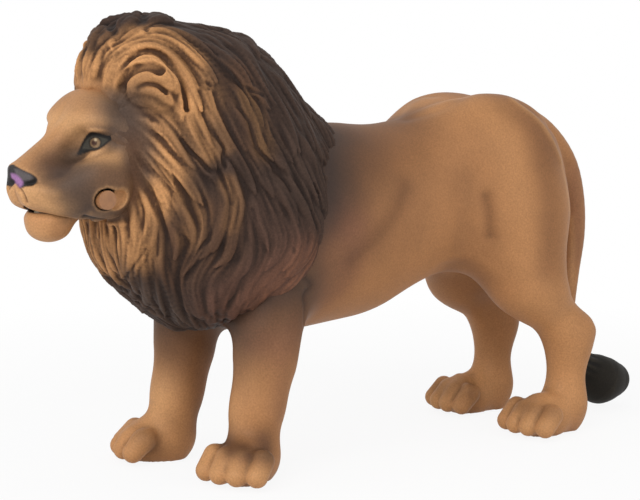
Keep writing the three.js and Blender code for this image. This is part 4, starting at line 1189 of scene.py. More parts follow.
# Mane
# Each lock of hair runs along a route that the photograph shows, given in its pixels, and lies on the
# mane's base. A row holds the route, the lock's width and its height before all are made fuller, in
# millimetres.
LOCKS = [
    ([(90, 47), (95, 36), (104, 27), (110, 23)], 5.6, 3.2),
    ([(126, 33), (129, 23), (137, 17), (145, 19)], 6.0, 3.4),
    ([(150, 29), (154, 20), (163, 16), (172, 21)], 6.0, 3.2),
    ([(101, 43), (107, 35), (114, 28)], 2.6, 2.2),
    ([(113, 37), (119, 33), (123, 28)], 3.0, 2.4),
    ([(106, 44), (111, 43), (112, 49)], 3.2, 2.2),
    ([(166, 25), (184, 21), (206, 26), (224, 32), (238, 40)], 4.6, 2.6),
    ([(142, 31), (157, 28), (174, 31), (190, 38), (206, 48), (220, 61)], 4.2, 2.4),
    ([(200, 28), (217, 33), (234, 43), (246, 56), (256, 72), (266, 90), (275, 105)], 5.0, 2.6),
    ([(224, 30), (240, 36), (252, 46), (258, 57)], 4.4, 3.0),
    ([(205, 43), (217, 54), (229, 62), (240, 74), (247, 86), (256, 96)], 5.4, 2.8),
    ([(257, 54), (270, 63), (284, 77), (294, 91), (303, 105), (309, 116)], 5.2, 2.8),
    ([(260, 72), (272, 92), (283, 113), (293, 134), (299, 152)], 5.0, 2.2),
    ([(280, 80), (294, 102), (305, 121), (314, 141), (320, 160)], 5.0, 2.4),
    ([(300, 98), (312, 115), (323, 129), (330, 145), (333, 163)], 5.0, 2.8),
    ([(117, 46), (126, 38), (137, 34), (152, 33), (167, 36), (181, 44), (194, 56), (206, 69), (215, 81)],
     5.8, 2.8),
    ([(113, 54), (129, 48), (146, 46), (159, 49), (171, 58), (182, 70), (190, 82), (196, 95), (201, 110)],
     5.0, 2.6),
    ([(138, 119), (150, 121), (162, 127), (172, 137), (180, 149), (188, 160), (194, 167)], 5.0, 2.4),
    ([(150, 137), (160, 147), (170, 158), (178, 168), (186, 178), (193, 190), (202, 204)], 5.2, 2.4),
    ([(144, 155), (153, 164), (163, 173), (170, 182), (177, 192)], 2.2, 1.6),
    ([(143, 166), (150, 176), (158, 186), (164, 197), (168, 208)], 5.0, 2.2),
    ([(141, 184), (147, 196), (151, 208), (152, 221), (150, 234), (145, 247), (137, 258)], 4.6, 2.2),
    ([(155, 196), (162, 207), (168, 219), (174, 231), (177, 245), (175, 258)], 4.2, 2.0),
    ([(172, 200), (180, 212), (188, 226), (195, 240), (198, 251)], 5.0, 2.0),
    ([(187, 99), (191, 114), (196, 130), (203, 145), (210, 158), (215, 168)], 6.6, 3.6),
    ([(206, 90), (211, 106), (217, 122), (224, 138), (231, 150), (240, 163), (249, 178), (254, 192)],
     6.2, 2.8),
    ([(222, 158), (228, 171), (234, 184), (238, 197), (236, 211), (231, 226), (229, 245), (225, 258),
      (216, 266)], 4.8, 2.6),
    ([(226, 103), (234, 120), (241, 136), (249, 151), (257, 166), (265, 181), (272, 195)], 5.6, 2.2),
    ([(246, 91), (252, 105), (256, 121), (257, 137), (262, 150), (271, 160)], 5.6, 3.2),
    ([(262, 168), (272, 180), (282, 193), (290, 206), (297, 222)], 5.2, 2.2),
    ([(243, 188), (250, 200), (257, 215), (263, 232), (268, 251)], 4.4, 2.2),
    ([(222, 175), (226, 188), (229, 203), (226, 220), (220, 236), (213, 250)], 5.0, 2.2),
    ([(205, 172), (213, 185), (218, 200), (220, 216), (216, 232), (208, 246), (200, 258)], 6.0, 2.4),
    ([(196, 205), (203, 218), (205, 232), (198, 248), (188, 262), (180, 276)], 6.0, 2.0),
    ([(280, 160), (288, 175), (295, 190), (303, 206), (311, 222)], 5.0, 2.0),
    ([(300, 150), (306, 168), (312, 185), (320, 203), (326, 214)], 5.0, 2.6),
    ([(318, 150), (324, 168), (328, 185), (328, 205)], 4.6, 2.0),
    ([(298, 206), (307, 222), (314, 236), (310, 251), (300, 265), (290, 276)], 5.0, 1.8),
    ([(285, 205), (292, 222), (297, 240), (293, 256), (283, 270)], 5.0, 1.8),
    ([(268, 205), (274, 222), (280, 240), (276, 256), (266, 270)], 5.0, 1.8),
    ([(88, 222), (92, 240), (98, 258), (106, 275), (114, 287)], 3.4, 1.8),
    ([(97, 224), (102, 242), (108, 260), (115, 277), (122, 290)], 3.4, 1.8),
    ([(107, 226), (111, 244), (117, 262), (123, 279)], 3.4, 1.8),
    ([(118, 228), (121, 246), (124, 262), (122, 278)], 3.4, 1.8),
    ([(128, 228), (130, 246), (129, 262), (123, 276)], 3.4, 1.8),
    ([(138, 228), (137, 246), (132, 262), (125, 275)], 3.4, 1.8),
    ([(130, 262), (133, 276), (135, 290), (133, 303)], 4.0, 2.0),
    ([(140, 255), (144, 270), (147, 285), (146, 300), (142, 313)], 4.4, 2.2),
    ([(152, 258), (155, 272), (158, 288), (161, 303), (166, 317)], 5.0, 2.0),
    ([(165, 262), (168, 278), (172, 294), (177, 308), (184, 320)], 5.0, 2.0),
    ([(86, 84), (87, 68), (91, 52)], 3.0, 1.2),
    ([(94, 88), (96, 70), (101, 52)], 3.0, 1.2),
    ([(103, 90), (107, 72), (114, 57)], 3.0, 1.2),
    ([(111, 88), (118, 71), (127, 57)], 3.0, 1.2),
]

# The ear's rim, its inner fold and the tufts that grow out of it
EAR_LOCKS = [
    ([(119, 88), (122, 77), (129, 68), (138, 61.5), (148, 59.5), (158, 62.5), (166, 70), (172, 80)],
     3.4, 3.2),
    ([(128, 88), (136, 80), (146, 75), (156, 74), (166, 78), (175, 88), (181, 102), (182, 118)], 5.5, 3.6),
    ([(134, 98), (144, 92), (154, 91), (163, 96), (171, 106), (177, 120)], 4.6, 3.0),
    ([(128, 106), (140, 102), (152, 102), (163, 108), (172, 120), (180, 136)], 4.6, 2.6),
    ([(134, 116), (146, 112), (158, 116), (169, 128), (178, 146)], 4.6, 2.4),
]
# Grooves in the ear: a route and a width each, as in the other tables of grooves
EAR_GROOVES = [
    ([(121.5, 87), (125, 78), (132, 71), (141, 67), (151, 67), (159, 71)], 3.4),
    ([(132, 58), (140, 53.5), (149, 52), (158, 55), (166, 62), (173, 73), (181, 87), (185.5, 99),
      (186.5, 109)], 2.2),
    ([(137, 88.5), (146, 84.5), (157, 85.5), (165, 92)], 1.5),
]
# Tufts that stand up on the crown, and the gaps between them
KNOBS = [
    ([(95, 50), (95, 40), (99, 33), (107, 30)], 8.0, 4.0),
    ([(118, 36), (122, 27), (129, 22), (137, 22)], 8.0, 4.0),
    ([(146, 30), (152, 23), (160, 20), (170, 23)], 7.0, 3.4),
]
KNOB_GROOVES = [
    ([(121, 42), (115, 34), (113, 24)], 3.0),
    ([(148, 34), (144, 26), (144, 17)], 2.6),
    ([(104, 50), (108, 42), (116, 36)], 2.0),
]

# Deep grooves between the locks
GROOVES = [
    ([(117, 49), (134, 42), (151, 40), (163, 42), (175, 50), (186, 60), (195, 73), (201, 84), (207, 90)],
     1.5),
    ([(200, 92), (206, 107), (210, 123), (216, 137), (223, 150), (224, 165), (219, 173)], 1.5),
    ([(153, 120), (168, 122), (177, 131), (183, 140), (190, 150), (200, 160), (209, 170), (218, 172)], 1.5),
    ([(203, 45), (215, 55), (223, 70), (232, 80), (245, 89), (261, 96)], 1.3),
    ([(195, 74), (203, 83), (219, 88), (228, 98), (237, 108)], 1.2),
    ([(237, 108), (247, 121), (251, 136), (255, 148), (261, 156), (268, 161), (276, 172), (284, 180),
      (289, 190)], 1.5),
    ([(160, 142), (170, 151), (179, 158), (187, 165), (193, 169)], 1.0),
    ([(149, 154), (158, 161), (166, 170), (173, 180), (179, 188)], 0.9),
    ([(147, 190), (151, 198), (155, 208), (158, 216)], 0.9),
    ([(227, 158), (235, 170), (243, 181), (248, 192)], 1.1),
    ([(222, 153), (222, 169), (225, 180), (230, 191), (231, 203)], 1.3),
    ([(246, 153), (256, 166), (264, 177)], 0.9),
    ([(299, 155), (296, 170)], 1.0),
    ([(313, 185), (319, 204), (323, 214)], 1.2),
    ([(159, 209), (162, 227), (159, 245), (158, 254)], 1.4),
    ([(172, 222), (181, 236), (188, 247)], 0.9),
    ([(208, 209), (209, 236), (199, 248), (190, 262), (183, 273), (177, 282)], 1.1),
    ([(252, 209), (257, 231), (264, 254)], 1.2),
    ([(271, 240), (271, 257)], 1.2),
    ([(274, 210), (280, 227), (294, 252)], 1.1),
    ([(123, 284), (131, 270), (140, 258), (146, 249)], 0.9),
]


def on_mane(shares):
    across, ahead, up = shares
    behind_hinge_share, lowest_share = 0.986, 0.395
    rear, lowest = HINGE_Y + MANE_LENGTH * behind_hinge_share, BACK_HEIGHT * lowest_share
    return [across * MANE_WIDTH * HALF, rear - ahead * MANE_LENGTH, lowest + up * MANE_HEIGHT]


mane_egg = eggs_on(on_mane, [MANE_WIDTH * HALF, MANE_LENGTH, MANE_HEIGHT])


def mane_base():
    return melt(
        MANE_MELT,
        mane_egg([0, 0.745, 0.73], [0.63, 0.21, 0.265]),
        mane_egg([0, 0.79, 0.83], [0.42, 0.138, 0.098]),
        mane_egg([0, 0.5, 0.64], [0.8, 0.295, 0.315]),
        mane_egg([0, 0.27, 0.56], [0.6, 0.25, 0.162]),
        pair(mane_egg([0.32, 0.585, 0.46], [0.66, 0.305, 0.36])),
        pair(mane_egg([0.64, 0.37, 0.41], [0.34, 0.14, 0.23])),
        pair(mane_egg([0.52, 0.48, 0.3], [0.44, 0.2, 0.2])),
        mane_egg([0, 0.61, 0.24], [0.66, 0.19, 0.23]),
        mane_egg([0, 0.8, 0.34], [0.48, 0.115, 0.15]),
    )


# Where the hair starts on the face, in the photograph's pixels from the crown down to the throat
HAIRLINE = [(84, 85), (100, 86), (114, 88), (122, 98), (127, 116), (129, 140), (129, 160), (130, 178),
            (135, 197), (128, 212), (108, 222), (90, 224)]


def hairline_of(face):
    """A function that gives how far back the hairline lies at each height."""
    line = seen(HAIRLINE, face)
    line = line[np.argsort(line[:, 2])]
    return lambda z: np.interp(z, line[:, 2], line[:, 1])


def hair_on_face():
    """Hair that grows out of the face behind the hairline and thickens backwards."""
    face = head_lump()
    hairline = hairline_of(face)
    depth, run, under = 2.6, 11, 4

    def distance(x, y, z):
        behind = y - hairline(z)
        thickness = depth * np.clip(behind / run, -1, 1)
        return np.maximum(face(x, y, z) - thickness, -behind - under)
    return distance


def ear_lump():
    centre_shares, half_shares, inwards = [0, -0.72, 0.73], [0.2, 0.36, 0.38], 2.0
    _, ear_y, ear_z = on_head(centre_shares)
    ear_x = EAR_SPREAD * HALF - inwards
    disc = egg([ear_x, ear_y, ear_z], [share * EAR_SIZE for share in half_shares])
    return turned(disc, [ear_x, ear_y], EAR_TURN)


class Lattice:
    """Values on a grid of points, read between them. A wrapped one repeats itself for ever."""

    def __init__(self, values, low, cell, wraps):
        self.values, self.low, self.cell, self.wraps = values, np.array(low, float), cell, wraps
        self.size = np.array(values.shape[:3])

    def at(self, points):
        spot = (points - self.low) / self.cell
        before = np.floor(spot).astype(int)
        share = spot - before
        total = 0
        for corner in np.ndindex(2, 2, 2):
            index = before + corner
            index = index % self.size if self.wraps else np.clip(index, 0, self.size - 1)
            weight = np.prod(np.where(corner, share, 1 - share), axis=1)
            value = self.values[tuple(index.T)]
            total = total + (weight[:, None] * value if value.ndim > 1 else weight * value)
        return total


def noise_lattice(random, cell):
    side = 48
    return Lattice(random.standard_normal((side, side, side)), [0, 0, 0], cell, True)


def unit(vectors):
    return vectors / np.maximum(np.linalg.norm(vectors, axis=-1, keepdims=True), TINY)


def lie_of_hair(routes, low, high):
    """Which way the hair runs at each place: the way of the routes near by."""
    starts = np.concatenate([route[:-1] for route in routes])
    lines = unit(np.concatenate([np.diff(route, axis=0) for route in routes]))
    cell, nearness, falloff = 3.0, 6.0, 2.2
    axes = axes_of(low, high, cell)
    places = np.stack(np.meshgrid(*axes, indexing="ij"), -1).reshape(-1, 3)
    lies = np.empty_like(places)
    batch = 4000
    for first in range(0, len(places), batch):
        span = slice(first, first + batch)
        squares = np.sum((places[span, None] - starts[None]) ** 2, 2)
        lies[span] = (1 / (squares + nearness) ** falloff) @ lines
    return Lattice(unit(lies).reshape(*(len(axis) for axis in axes), 3), low, cell, False)


def combed(points, lie, noise, length, step):
    """Noise smeared along the hair: alike along a strand, and changing from strand to strand."""
    total = noise.at(points)
    steps = int(length / step)
    for heading in (1, -1):
        head = points
        for number in range(steps):
            head = head + unit(lie.at(head)) * (heading * step)
            fade = 1 - number / steps
            total = total + noise.at(head) * fade
    return (total - total.mean()) / total.std()


class HairGrid:
    """A grid of distances that locks and grooves are pressed into."""

    def __init__(self, base, cell, low, high):
        self.cell, self.low, self.box = cell, np.array(low, float), (low, high)
        self.axes = axes_of(low, high, cell)
        spacing = 3
        self.field = values_on(base, low, high, cell, spacing)

    def window(self, points, reach):
        """The part of the grid round some points, as spans of its axes and their coordinates."""
        low = np.floor((points.min(0) - reach - self.low) / self.cell).astype(int).clip(0)
        high = np.ceil((points.max(0) + reach - self.low) / self.cell).astype(int) + 1
        high = np.minimum(high, self.field.shape)
        spans = tuple(slice(a, max(b, a)) for a, b in zip(low, high))
        x, y, z = (axis[span] for axis, span in zip(self.axes, spans))
        return spans, x[:, None, None], y[None, :, None], z[None, None, :]

    def press(self, gaps, points, reach, melts):
        """Joins one shape to the field: the nearest of gaps, one for each stretch between two points."""
        whole, *_ = self.window(points, reach)
        near = np.full([span.stop - span.start for span in whole], reach)
        for gap, start, end in zip(gaps, points[:-1], points[1:]):
            spans, x, y, z = self.window(np.array([start, end]), reach)
            inner = tuple(slice(a.start - b.start, a.stop - b.start) for a, b in zip(spans, whole))
            near[inner] = np.minimum(near[inner], gap(x, y, z))
        self.field[whole] = melts(self.field[whole], near)

    def press_lock(self, places, sides, widths, heights):
        """Adds a lock: a flattened rod that ends in a point."""
        root_melt = 0.5

        def stretch(at):
            line = places[at + 1] - places[at]
            side = sides[at] + (sides[at + 1] - sides[at]) * HALF

            def gap(x, y, z):
                share, dx, dy, dz = from_line(places[at], line, x, y, z)
                across = dx * side[0] + dy * side[1] + dz * side[2]
                rest = np.maximum(dx * dx + dy * dy + dz * dz - across ** 2, 0)
                wide = widths[at] + (widths[at + 1] - widths[at]) * share
                high = heights[at] + (heights[at + 1] - heights[at]) * share
                reached = np.sqrt((across / wide) ** 2 + rest / high ** 2)
                slope = np.sqrt((across / wide ** 2) ** 2 + rest / high ** 4)
                return reached * (reached - 1) / np.maximum(slope, TINY)
            return gap
        reach = max(widths.max(), heights.max()) + 2 * self.cell
        gaps = [stretch(at) for at in range(len(places) - 1)]
        self.press(gaps, places, reach, lambda field, near: smooth_least(field, near, root_melt))

    def press_groove(self, places, radius):
        """Cuts a round groove."""
        rim = 0.5
        gaps = [bone(start, radius, end, radius) for start, end in zip(places[:-1], places[1:])]
        reach = radius * 2 + 2 * self.cell
        self.press(gaps, places, reach, lambda field, near: -smooth_least(-field, near, rim))

    def press_out(self, lump, low, high):
        """Cuts a lump's shape out of a box of the grid."""
        spans, x, y, z = self.window(np.array([low, high], float), 0)
        self.field[spans] = np.maximum(self.field[spans], -lump(x, y, z))


def drawn_onto(lump, places):
    draws = 3
    for _ in range(draws):
        places = places - outward(lump, places) * lump(*places.T)[:, None]
    return places


def laid(lump, places, lifts):
    """A route's places lifted off the base, with the directions across it."""
    places = drawn_onto(lump, places)
    ups = outward(lump, places)
    lines = unit(np.gradient(places, axis=0))
    sides = unit(np.cross(lines, ups))
    return places + ups * lifts[:, None], sides


def lock_shape(count, width, height):
    """Half widths, half heights and lifts along a lock: buried at its root, full, then a raised tip."""
    share = np.linspace(0, 1, count)
    full_share, point_share, thinnest_share, lowest_share, power = 0.4, 1.02, 0.01, 0.4, 0.75
    root_share, growth_share, sunk_share, raised_share = 0.55, 0.45, 0.4, 0.45
    grow = root_share + growth_share * np.sin(np.minimum(share / full_share, 1) * math.pi * HALF)
    past_full = np.maximum(share - full_share, 0) / (point_share - full_share)
    taper = np.maximum(1 - past_full ** 2, thinnest_share) ** power
    lifts = height * (raised_share * share - sunk_share)
    return width * HALF * grow * taper, height * HALF * np.maximum(grow * taper, lowest_share), lifts


# Routes that lead the hair where the photograph shows none, each from its root
GUIDE_SHARES = {
    "crown": [[0, 0.97, 0.72], [0, 0.93, 0.93], [0, 0.75, 1.0], [0, 0.5, 0.96], [0, 0.25, 0.76],
              [0, 0.05, 0.62]],
    "beside the crown": [[0.4, 0.93, 0.88], [0.5, 0.72, 0.95], [0.6, 0.45, 0.84], [0.56, 0.22, 0.66],
                         [0.5, 0.05, 0.5]],
    "rear": [[0.75, 0.5, 0.74], [0.86, 0.32, 0.56], [0.8, 0.14, 0.38]],
    "chest": [[0, 0.95, 0.42], [0, 0.87, 0.22], [0, 0.66, 0.02], [0, 0.5, 0.0]],
    "beside the chest": [[0.45, 0.86, 0.36], [0.5, 0.72, 0.16], [0.42, 0.5, 0.03]],
    "shoulder": [[0.96, 0.52, 0.5], [0.92, 0.42, 0.3], [0.8, 0.34, 0.14]],
}


def guide_routes():
    return [np.array([on_mane(shares) for shares in rows]) for rows in GUIDE_SHARES.values()]


def fill_routes(base, points, known, lie, random):
    """Routes of small locks where the photograph shows none, along the lie of the hair."""
    starts = np.concatenate(known)
    least_gap, clear, tries, spacing = 4.4, 3.0, 5000, 1.6
    chosen = np.empty((0, 3))
    for place in points[random.permutation(len(points))[:tries]]:
        if np.min(np.sum((starts - place) ** 2, 1)) < clear ** 2:
            continue
        if len(chosen) and np.min(np.sum((chosen - place) ** 2, 1)) < least_gap ** 2:
            continue
        chosen = np.concatenate([chosen, place[None]])
    shortest, longest, most_swirl, swirl_pace = 11, 21, 0.45, 0.5
    sizes = (random.uniform(shortest, longest, len(chosen)) / spacing).astype(int)
    swirls = random.uniform(-most_swirl, most_swirl, len(chosen))
    heads = chosen
    trails = [heads]
    for step in range(int(sizes.max())):
        ups = outward(base, heads)
        lines = unit(lie.at(heads))
        lines = lines - ups * np.sum(lines * ups, 1)[:, None]
        lines = lines + np.cross(ups, lines) * (swirls * math.cos(step * swirl_pace))[:, None]
        heads = drawn_onto(base, heads + unit(lines) * spacing)
        trails.append(heads)
    trails = np.array(trails)
    return [trails[:size + 1, number] for number, size in enumerate(sizes)]


# Paint of the mane along routes: a reach in millimetres, a strength and one of the tones below
MANE_PAINT = [
    ([(238, 80), (250, 108), (254, 140)], 7.0, 0.2, "mid"),
    ([(216, 215), (226, 236), (222, 258)], 6.0, 0.2, "mid"),
    ([(168, 232), (178, 248), (176, 268)], 7.0, 0.2, "mid"),
    ([(266, 222), (282, 244), (285, 262)], 8.0, 0.2, "mauve"),
    ([(236, 302), (262, 288), (292, 268)], 11.0, 0.9, "mauve"),
    ([(268, 292), (288, 276), (304, 262)], 7.0, 0.6, "russet"),
    ([(148, 294), (158, 306), (170, 314)], 6.0, 0.5, "grey"),
    ([(154, 152), (160, 168), (164, 186)], 5.0, 0.8, "tan"),
    ([(118, 64), (150, 60), (172, 78), (184, 100)], 9.0, 1.0, "tan"),
    ([(112, 46), (146, 36), (174, 44), (192, 60)], 4.6, 1.0, "tan"),
    ([(88, 80), (92, 62), (100, 52)], 6.0, 1.0, "tan"),
    ([(110, 84), (118, 64), (126, 52)], 6.0, 1.0, "tan"),
    ([(190, 108), (198, 132), (208, 152)], 3.2, 0.7, "tan"),
    ([(210, 104), (220, 126), (228, 148)], 2.0, 0.3, "tan"),
    ([(246, 100), (256, 122), (262, 148)], 3.6, 0.2, "olive"),
    ([(146, 132), (156, 150), (165, 170)], 6.5, 1.0, "tan"),
    ([(146, 164), (154, 182), (157, 200)], 5.5, 0.95, "tan"),
    ([(85, 222), (98, 238), (106, 258)], 7.0, 0.95, "tan"),
    ([(110, 230), (128, 238), (136, 250)], 6.5, 0.85, "tan"),
    ([(138, 204), (142, 220), (138, 240)], 5.0, 0.7, "tan"),
    ([(190, 200), (195, 218), (191, 236)], 4.0, 0.3, "tan"),
    ([(228, 185), (234, 202), (230, 224)], 3.0, 0.3, "tan"),
    ([(126, 104), (136, 122), (140, 148), (140, 172)], 5.0, 0.85, "grey"),
    ([(89, 46), (96, 34), (108, 24)], 3.6, 0.85, "dark"),
    ([(122, 24), (138, 18)], 4.0, 0.85, "dark"),
    ([(148, 22), (165, 19)], 3.6, 0.85, "dark"),
]
# The colours of a tone: on the ridges of the hair and in the gaps between them, whose darker colour is partly
# the toy's paint and partly painted shade
MANE_TONES = {
    "tan": (MANE_TAN, MANE_SHADE),
    "mid": (DEEP_TAN, MANE_DARK),
    "grey": (GREY_BROWN, MANE_DARK),
    "mauve": (MANE_MAUVE, MANE_DARK),
    "russet": (RUSSET, MANE_MAUVE),
    "olive": (MANE_OLIVE, MANE_SHADE),
    "dark": (MANE_DARK, MANE_PIT),
}


def mane_paint(points, quads, skin, strands, rise):
    ridge_share, gap_share, edge_power = 0.2, 0.3, 3
    ridges = coat(mixed(MANE_DARK, GREY_BROWN, ridge_share), points)
    gaps = coat(mixed(MANE_PIT, MANE_DARK, gap_share), points)
    for route, reach, strength, tone in MANE_PAINT:
        amount = strength * stroke_amount(points, traced(route, skin, PAINT_SPACING), reach, edge_power)
        ridge, gap = MANE_TONES[tone]
        ridges, gaps = blended(ridges, ridge, amount), blended(gaps, gap, amount)
    fine, broad = relief_of(points, quads, rounds=5), relief_of(points, quads, rounds=24)
    fine_full, broad_full, strand_strength = 0.42, 1.2, 0.06
    height = np.clip(HALF + fine / fine_full + broad / broad_full + strands * strand_strength, 0, 1)
    paint = gaps + (ridges - gaps) * height[:, None]
    # Painted shade, near black, in the deep grooves, and a painted highlight on the tops of the fine relief
    pit_strength, highlight_share, wave_strength, most_wave = 0.8, 1.3, 0.08, 1.5
    paint = blended(paint, MANE_PIT, rising(-fine, full=0.45, start_share=0.35) * pit_strength)
    paint = blended(paint, MANE_PIT, rising(-broad, full=1.1, start_share=0.3))
    paint = blended(paint, paint * highlight_share, rising(fine, full=0.3, start_share=0.3))
    paint = paint * (1 + wave_strength * np.clip(rise, -most_wave, most_wave))[:, None]
    face = head_lump()
    fade_length, fade_end = 9, 1.1
    behind = (points[:, 1] - hairline_of(face)(points[:, 2])) / fade_length
    on_face = near_amount(face, points, full_at=1.0, fade=2.5) * np.clip(fade_end - behind, 0, 1)
    sprayed = airbrushed(coat(FACE_TAN, points), points, face, HEAD_PAINT)
    return blended(paint, sprayed, on_face)


MIRRORS = ([1, 1, 1], [-1, 1, 1])        # the lion's left side, and its right side from the left


def on_both_sides(routes):
    return [route * mirror for route in routes for mirror in MIRRORS]


def traced_rows(rows, skin):
    """Rows with their routes taken from pixels to places on the skin."""
    return [(traced(route, skin), *sizes) for route, *sizes in rows]


def press_locks(grid, skin, rows):
    """Adds locks on both sides of the lion: a traced route, a width and a height each."""
    fuller_share = 1.35
    for route, width, height in rows:
        widths, heights, lifts = lock_shape(len(route), width, height * fuller_share)
        places, sides = laid(skin, route, lifts)
        for mirror in MIRRORS:
            grid.press_lock(places * mirror, sides * mirror, widths, heights)


def press_grooves(grid, skin, rows, lift):
    """Cuts grooves on both sides of the lion, their middles lifted off the skin by that much."""
    for route, width in traced_rows(rows, skin):
        places = drawn_onto(skin, route)
        places = places + outward(skin, places) * lift
        for mirror in MIRRORS:
            grid.press_groove(places * mirror, width * HALF)


def press_fill(grid, skin, hair_base, routes, lie, random):
    """Adds small locks of mixed sizes along routes that the photograph doesn't show."""
    rough_cell, width_range, height_range = 2.0, (3.6, 5.6), (2.2, 3.4)
    points, _ = skin_of(hair_base, rough_cell, *grid.box)
    for route in fill_routes(hair_base, points, on_both_sides(routes), lie, random):
        width, height = random.uniform(*width_range), random.uniform(*height_range)
        widths, heights, lifts = lock_shape(len(route), width, height)
        grid.press_lock(*laid(skin, route, lifts), widths, heights)


def press_drawn(grid, skin, locks):
    """Adds the locks and grooves that the photograph shows."""
    press_locks(grid, skin, [*locks, *traced_rows(KNOBS, skin)])
    ear_outline = EAR_GROOVES[1:2]
    for rows, lift in ((GROOVES, 0.9), (ear_outline, 1.2), (KNOB_GROOVES, 1.4)):
        press_grooves(grid, skin, rows, lift)
    press_locks(grid, skin, traced_rows(EAR_LOCKS, skin))
    ear_lift = 0.45
    press_grooves(grid, skin, EAR_GROOVES, ear_lift)


def ruffled(points, quads, skin, swing, strands, rise):
    """Fine strands and broader waves in the hair, calmer in the ear, on the shoulder and by the jaw."""
    ear_middle, smooth_shoulder = [(150, 88)], [(236, 300), (262, 290), (290, 270)]
    strand_height, wave_height, wave_middle, most = 0.12, 0.32, 0.8, 0.6
    shoulder_strength, calm_share, fade = 0.75, 0.2, 0.8
    in_ear = stroke_amount(points, traced(ear_middle, skin), reach=9.0, power=4)
    on_shoulder = stroke_amount(points, traced(smooth_shoulder, skin), reach=10.0, power=3)
    calm = (1 - in_ear) * (1 - shoulder_strength * on_shoulder)
    clear = rising(swing(*points.T), fade) * (calm_share + (1 - calm_share) * calm)
    lift = (strand_height * strands + wave_height * (wave_middle - np.abs(rise))) * clear
    return points + normals_of(points, quads) * np.clip(lift, -most, most)[:, None]


def make_mane():
    lock_room, melt_width, cell, reach = 1.0, 3.0, 0.42, 5
    hair_base = grown(mane_base(), -lock_room)
    skin = melt(melt_width, hair_base, hair_on_face(), pair(ear_lump()))
    half_width = MANE_WIDTH * HALF + reach
    (_, front, bottom), (_, rear, top) = on_mane([0, 1, 0]), on_mane([0, 0, 1])
    low, high = [-half_width, front - reach, bottom - reach], [half_width, rear + reach, top + reach]
    grid = HairGrid(skin, cell, low, high)
    random = np.random.default_rng(11)
    locks = traced_rows(LOCKS, skin)
    routes = [route for route, *_ in locks]
    lie = lie_of_hair(on_both_sides([*routes, *guide_routes()]), low, high)
    press_fill(grid, skin, hair_base, routes, lie, random)
    press_drawn(grid, skin, locks)
    swing = swept(jaw_lump(), JAW_CLEARANCE * 2)
    ahead_share, below_share = 1.5, 2.5
    grid.press_out(joined(swing, mouth_lump()),
                   [-ARM_SPREAD, HINGE_Y - FACE_LENGTH * ahead_share, CHIN_Z - JAW_DEPTH * below_share],
                   [ARM_SPREAD, HINGE_Y + JAW_DEPTH, HINGE_Z + JAW_DEPTH])
    points, quads = net_of(grid.field, low, cell)
    strand_cell, wave_cell = 0.95, 2.1
    strands = combed(points, lie, noise_lattice(random, strand_cell), length=7, step=1.0)
    rise = combed(points, lie, noise_lattice(random, wave_cell), length=20, step=2.0)
    points = ruffled(points, quads, skin, swing, strands, rise)
    paint = mane_paint(points, quads, skin, strands, rise)
    return add_piece("mane_hair", points, quads, paint, hair, "figure", ["mane"])


make_mane()


# Inside of the mouth and the pegs keep their solids, with paint of their own.
def mottled_paint(name, dark, pale, roughness, lacquer=0.0):
    """Moulded plastic whose colour and gloss vary a little."""
    material, shader, wire = new_material(name)
    shader.inputs["Coat Weight"].default_value = lacquer
    waves, gloss_spread = 0.7, 0.08
    noise = noise_of(material, waves)
    mix = node_of(material, "ShaderNodeMix", data_type="RGBA", a=(*dark, 1), b=(*pale, 1), factor=noise)
    wire(mix.outputs["Result"], "Base Color")
    wire(spread_about(material, noise, roughness, gloss_spread), "Roughness")
    bump = node_of(material, "ShaderNodeBump", strength=0.3, distance=0.05 * MM, height=noise)
    wire(bump.outputs["Normal"], "Normal")
    return material


def paint_solids():
    gum = mottled_paint("mouth_paint", GUM_DARK, MOUTH_PINK, 0.36, 0.3)
    roof = mottled_paint("roof_paint", LIP_GREY * HALF, GUM_DARK, 0.42, 0.2)
    ivory = mottled_paint("tooth_paint", TOOTH_ROOT, TOOTH_IVORY, 0.34, 0.2)
    peg_paint = mottled_paint("peg_paint", DEEP_TAN, TAN, 0.5)
    for node, material in (("palate", roof), ("tongue", gum), ("upper_teeth", ivory), ("lower_teeth", ivory),
                           ("left_jaw_peg", peg_paint), ("right_jaw_peg", peg_paint)):
        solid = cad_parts[node]
        solid.data.materials.clear()
        solid.data.materials.append(material)


paint_solids()


# Studio
def add_lamp(name, size, power, place, target):
    data = bpy.data.lights.new(name, "AREA")
    data.shape = "RECTANGLE"
    data.size, data.size_y = (side * MM for side in size)
    data.energy = power
    lamp = linked(name, data)
    lamp.location = [value * MM for value in place]
    direction = Vector([b - a for a, b in zip(place, target)])
    lamp.rotation_euler = direction.to_track_quat("-Z", "Y").to_euler()


def looked_at(owner):
    """1 for rays of the camera and for those that show the background in gloss or glass."""
    path = node_of(owner, "ShaderNodeLightPath")
    total = path.outputs["Is Camera Ray"]
    for name in ("Is Glossy Ray", "Is Transmission Ray"):
        total = maths(owner, "MAXIMUM", total, path.outputs[name])
    return total


def end_in_mix(owner, amount, first, second, output_name):
    """Ends the nodes in a mix of two shaders, the second one by that amount."""
    tree = owner.node_tree
    mix = node_of(owner, "ShaderNodeMixShader", fac=amount)
    tree.links.new(first, mix.inputs[1])
    tree.links.new(second, mix.inputs[2])
    tree.links.new(mix.outputs["Shader"], tree.nodes[output_name].inputs["Surface"])


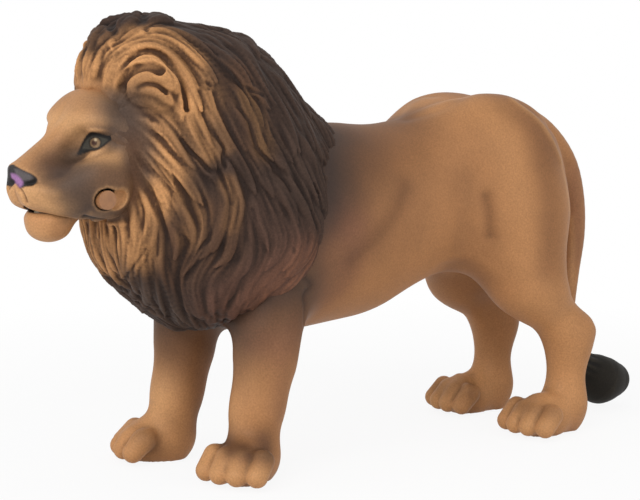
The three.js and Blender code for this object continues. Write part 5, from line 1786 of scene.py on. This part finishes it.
def make_floor():
    """White paper round the figure, which glows further out for whoever looks at it."""
    floor_size, grey, roughness = 6000, 0.86, 0.95
    half = floor_size * HALF * MM
    corners = [(-half, -half, 0), (half, -half, 0), (half, half, 0), (-half, half, 0)]
    data = bpy.data.meshes.new("floor")
    data.from_pydata(corners, [], [(0, 1, 2, 3)])
    floor = linked("floor", data)
    material, paper, _ = new_material("white_paper")
    paper.inputs["Base Color"].default_value = (grey, grey, grey, 1)
    paper.inputs["Roughness"].default_value = roughness
    near, far, near_glow = 130, 330, 0.9
    place = node_of(material, "ShaderNodeTexCoord").outputs["Object"]
    distance = node_of(material, "ShaderNodeVectorMath", operation="LENGTH", vector=place).outputs["Value"]
    fade = node_of(material, "ShaderNodeMapRange", value=distance, from_min=near * MM, from_max=far * MM,
                   to_min=near_glow)
    amount = maths(material, "MULTIPLY", fade.outputs["Result"], looked_at(material))
    glow = node_of(material, "ShaderNodeEmission").outputs["Emission"]
    end_in_mix(material, amount, paper.outputs["BSDF"], glow, "Material Output")
    data.materials.append(material)


def make_world():
    world = bpy.data.worlds.new("studio")
    bpy.context.scene.world = world
    world.use_nodes = True
    white, sky_strength = (1, 1, 1, 1), 0.46
    sky = world.node_tree.nodes["Background"]
    sky.inputs["Color"].default_value = white
    sky.inputs["Strength"].default_value = sky_strength
    backdrop = node_of(world, "ShaderNodeBackground", color=white)
    end_in_mix(world, looked_at(world), sky.outputs["Background"], backdrop.outputs["Background"],
               "World Output")


def make_camera():
    nearest = 0.01
    data = bpy.data.cameras.new("camera")
    data.sensor_width = SENSOR_WIDTH
    data.lens = CAMERA_FOCUS / FRAME_WIDTH * SENSOR_WIDTH
    data.clip_start = nearest
    camera = linked("camera", data)
    camera.location = (eye_point * MM).tolist()
    camera.rotation_euler = Vector(towards.tolist()).to_track_quat("-Z", "Y").to_euler()
    bpy.context.scene.camera = camera


# Each lamp's size, power and place
LAMPS = {
    "key": ((450, 350), 2.4, (340, -520, 440)),
    "fill": ((500, 500), 0.9, (560, 160, 180)),
    "front": ((400, 400), 0.8, (-120, -640, 160)),
    "top": ((500, 500), 0.5, (0, 60, 700)),
}
LAMP_TARGET = (0, 0, 60)
make_floor()
make_world()
for lamp_name, (lamp_size, lamp_power, lamp_place) in LAMPS.items():
    add_lamp(lamp_name, lamp_size, lamp_power, lamp_place, LAMP_TARGET)
make_camera()
bpy.context.scene.view_settings.view_transform = "Standard"
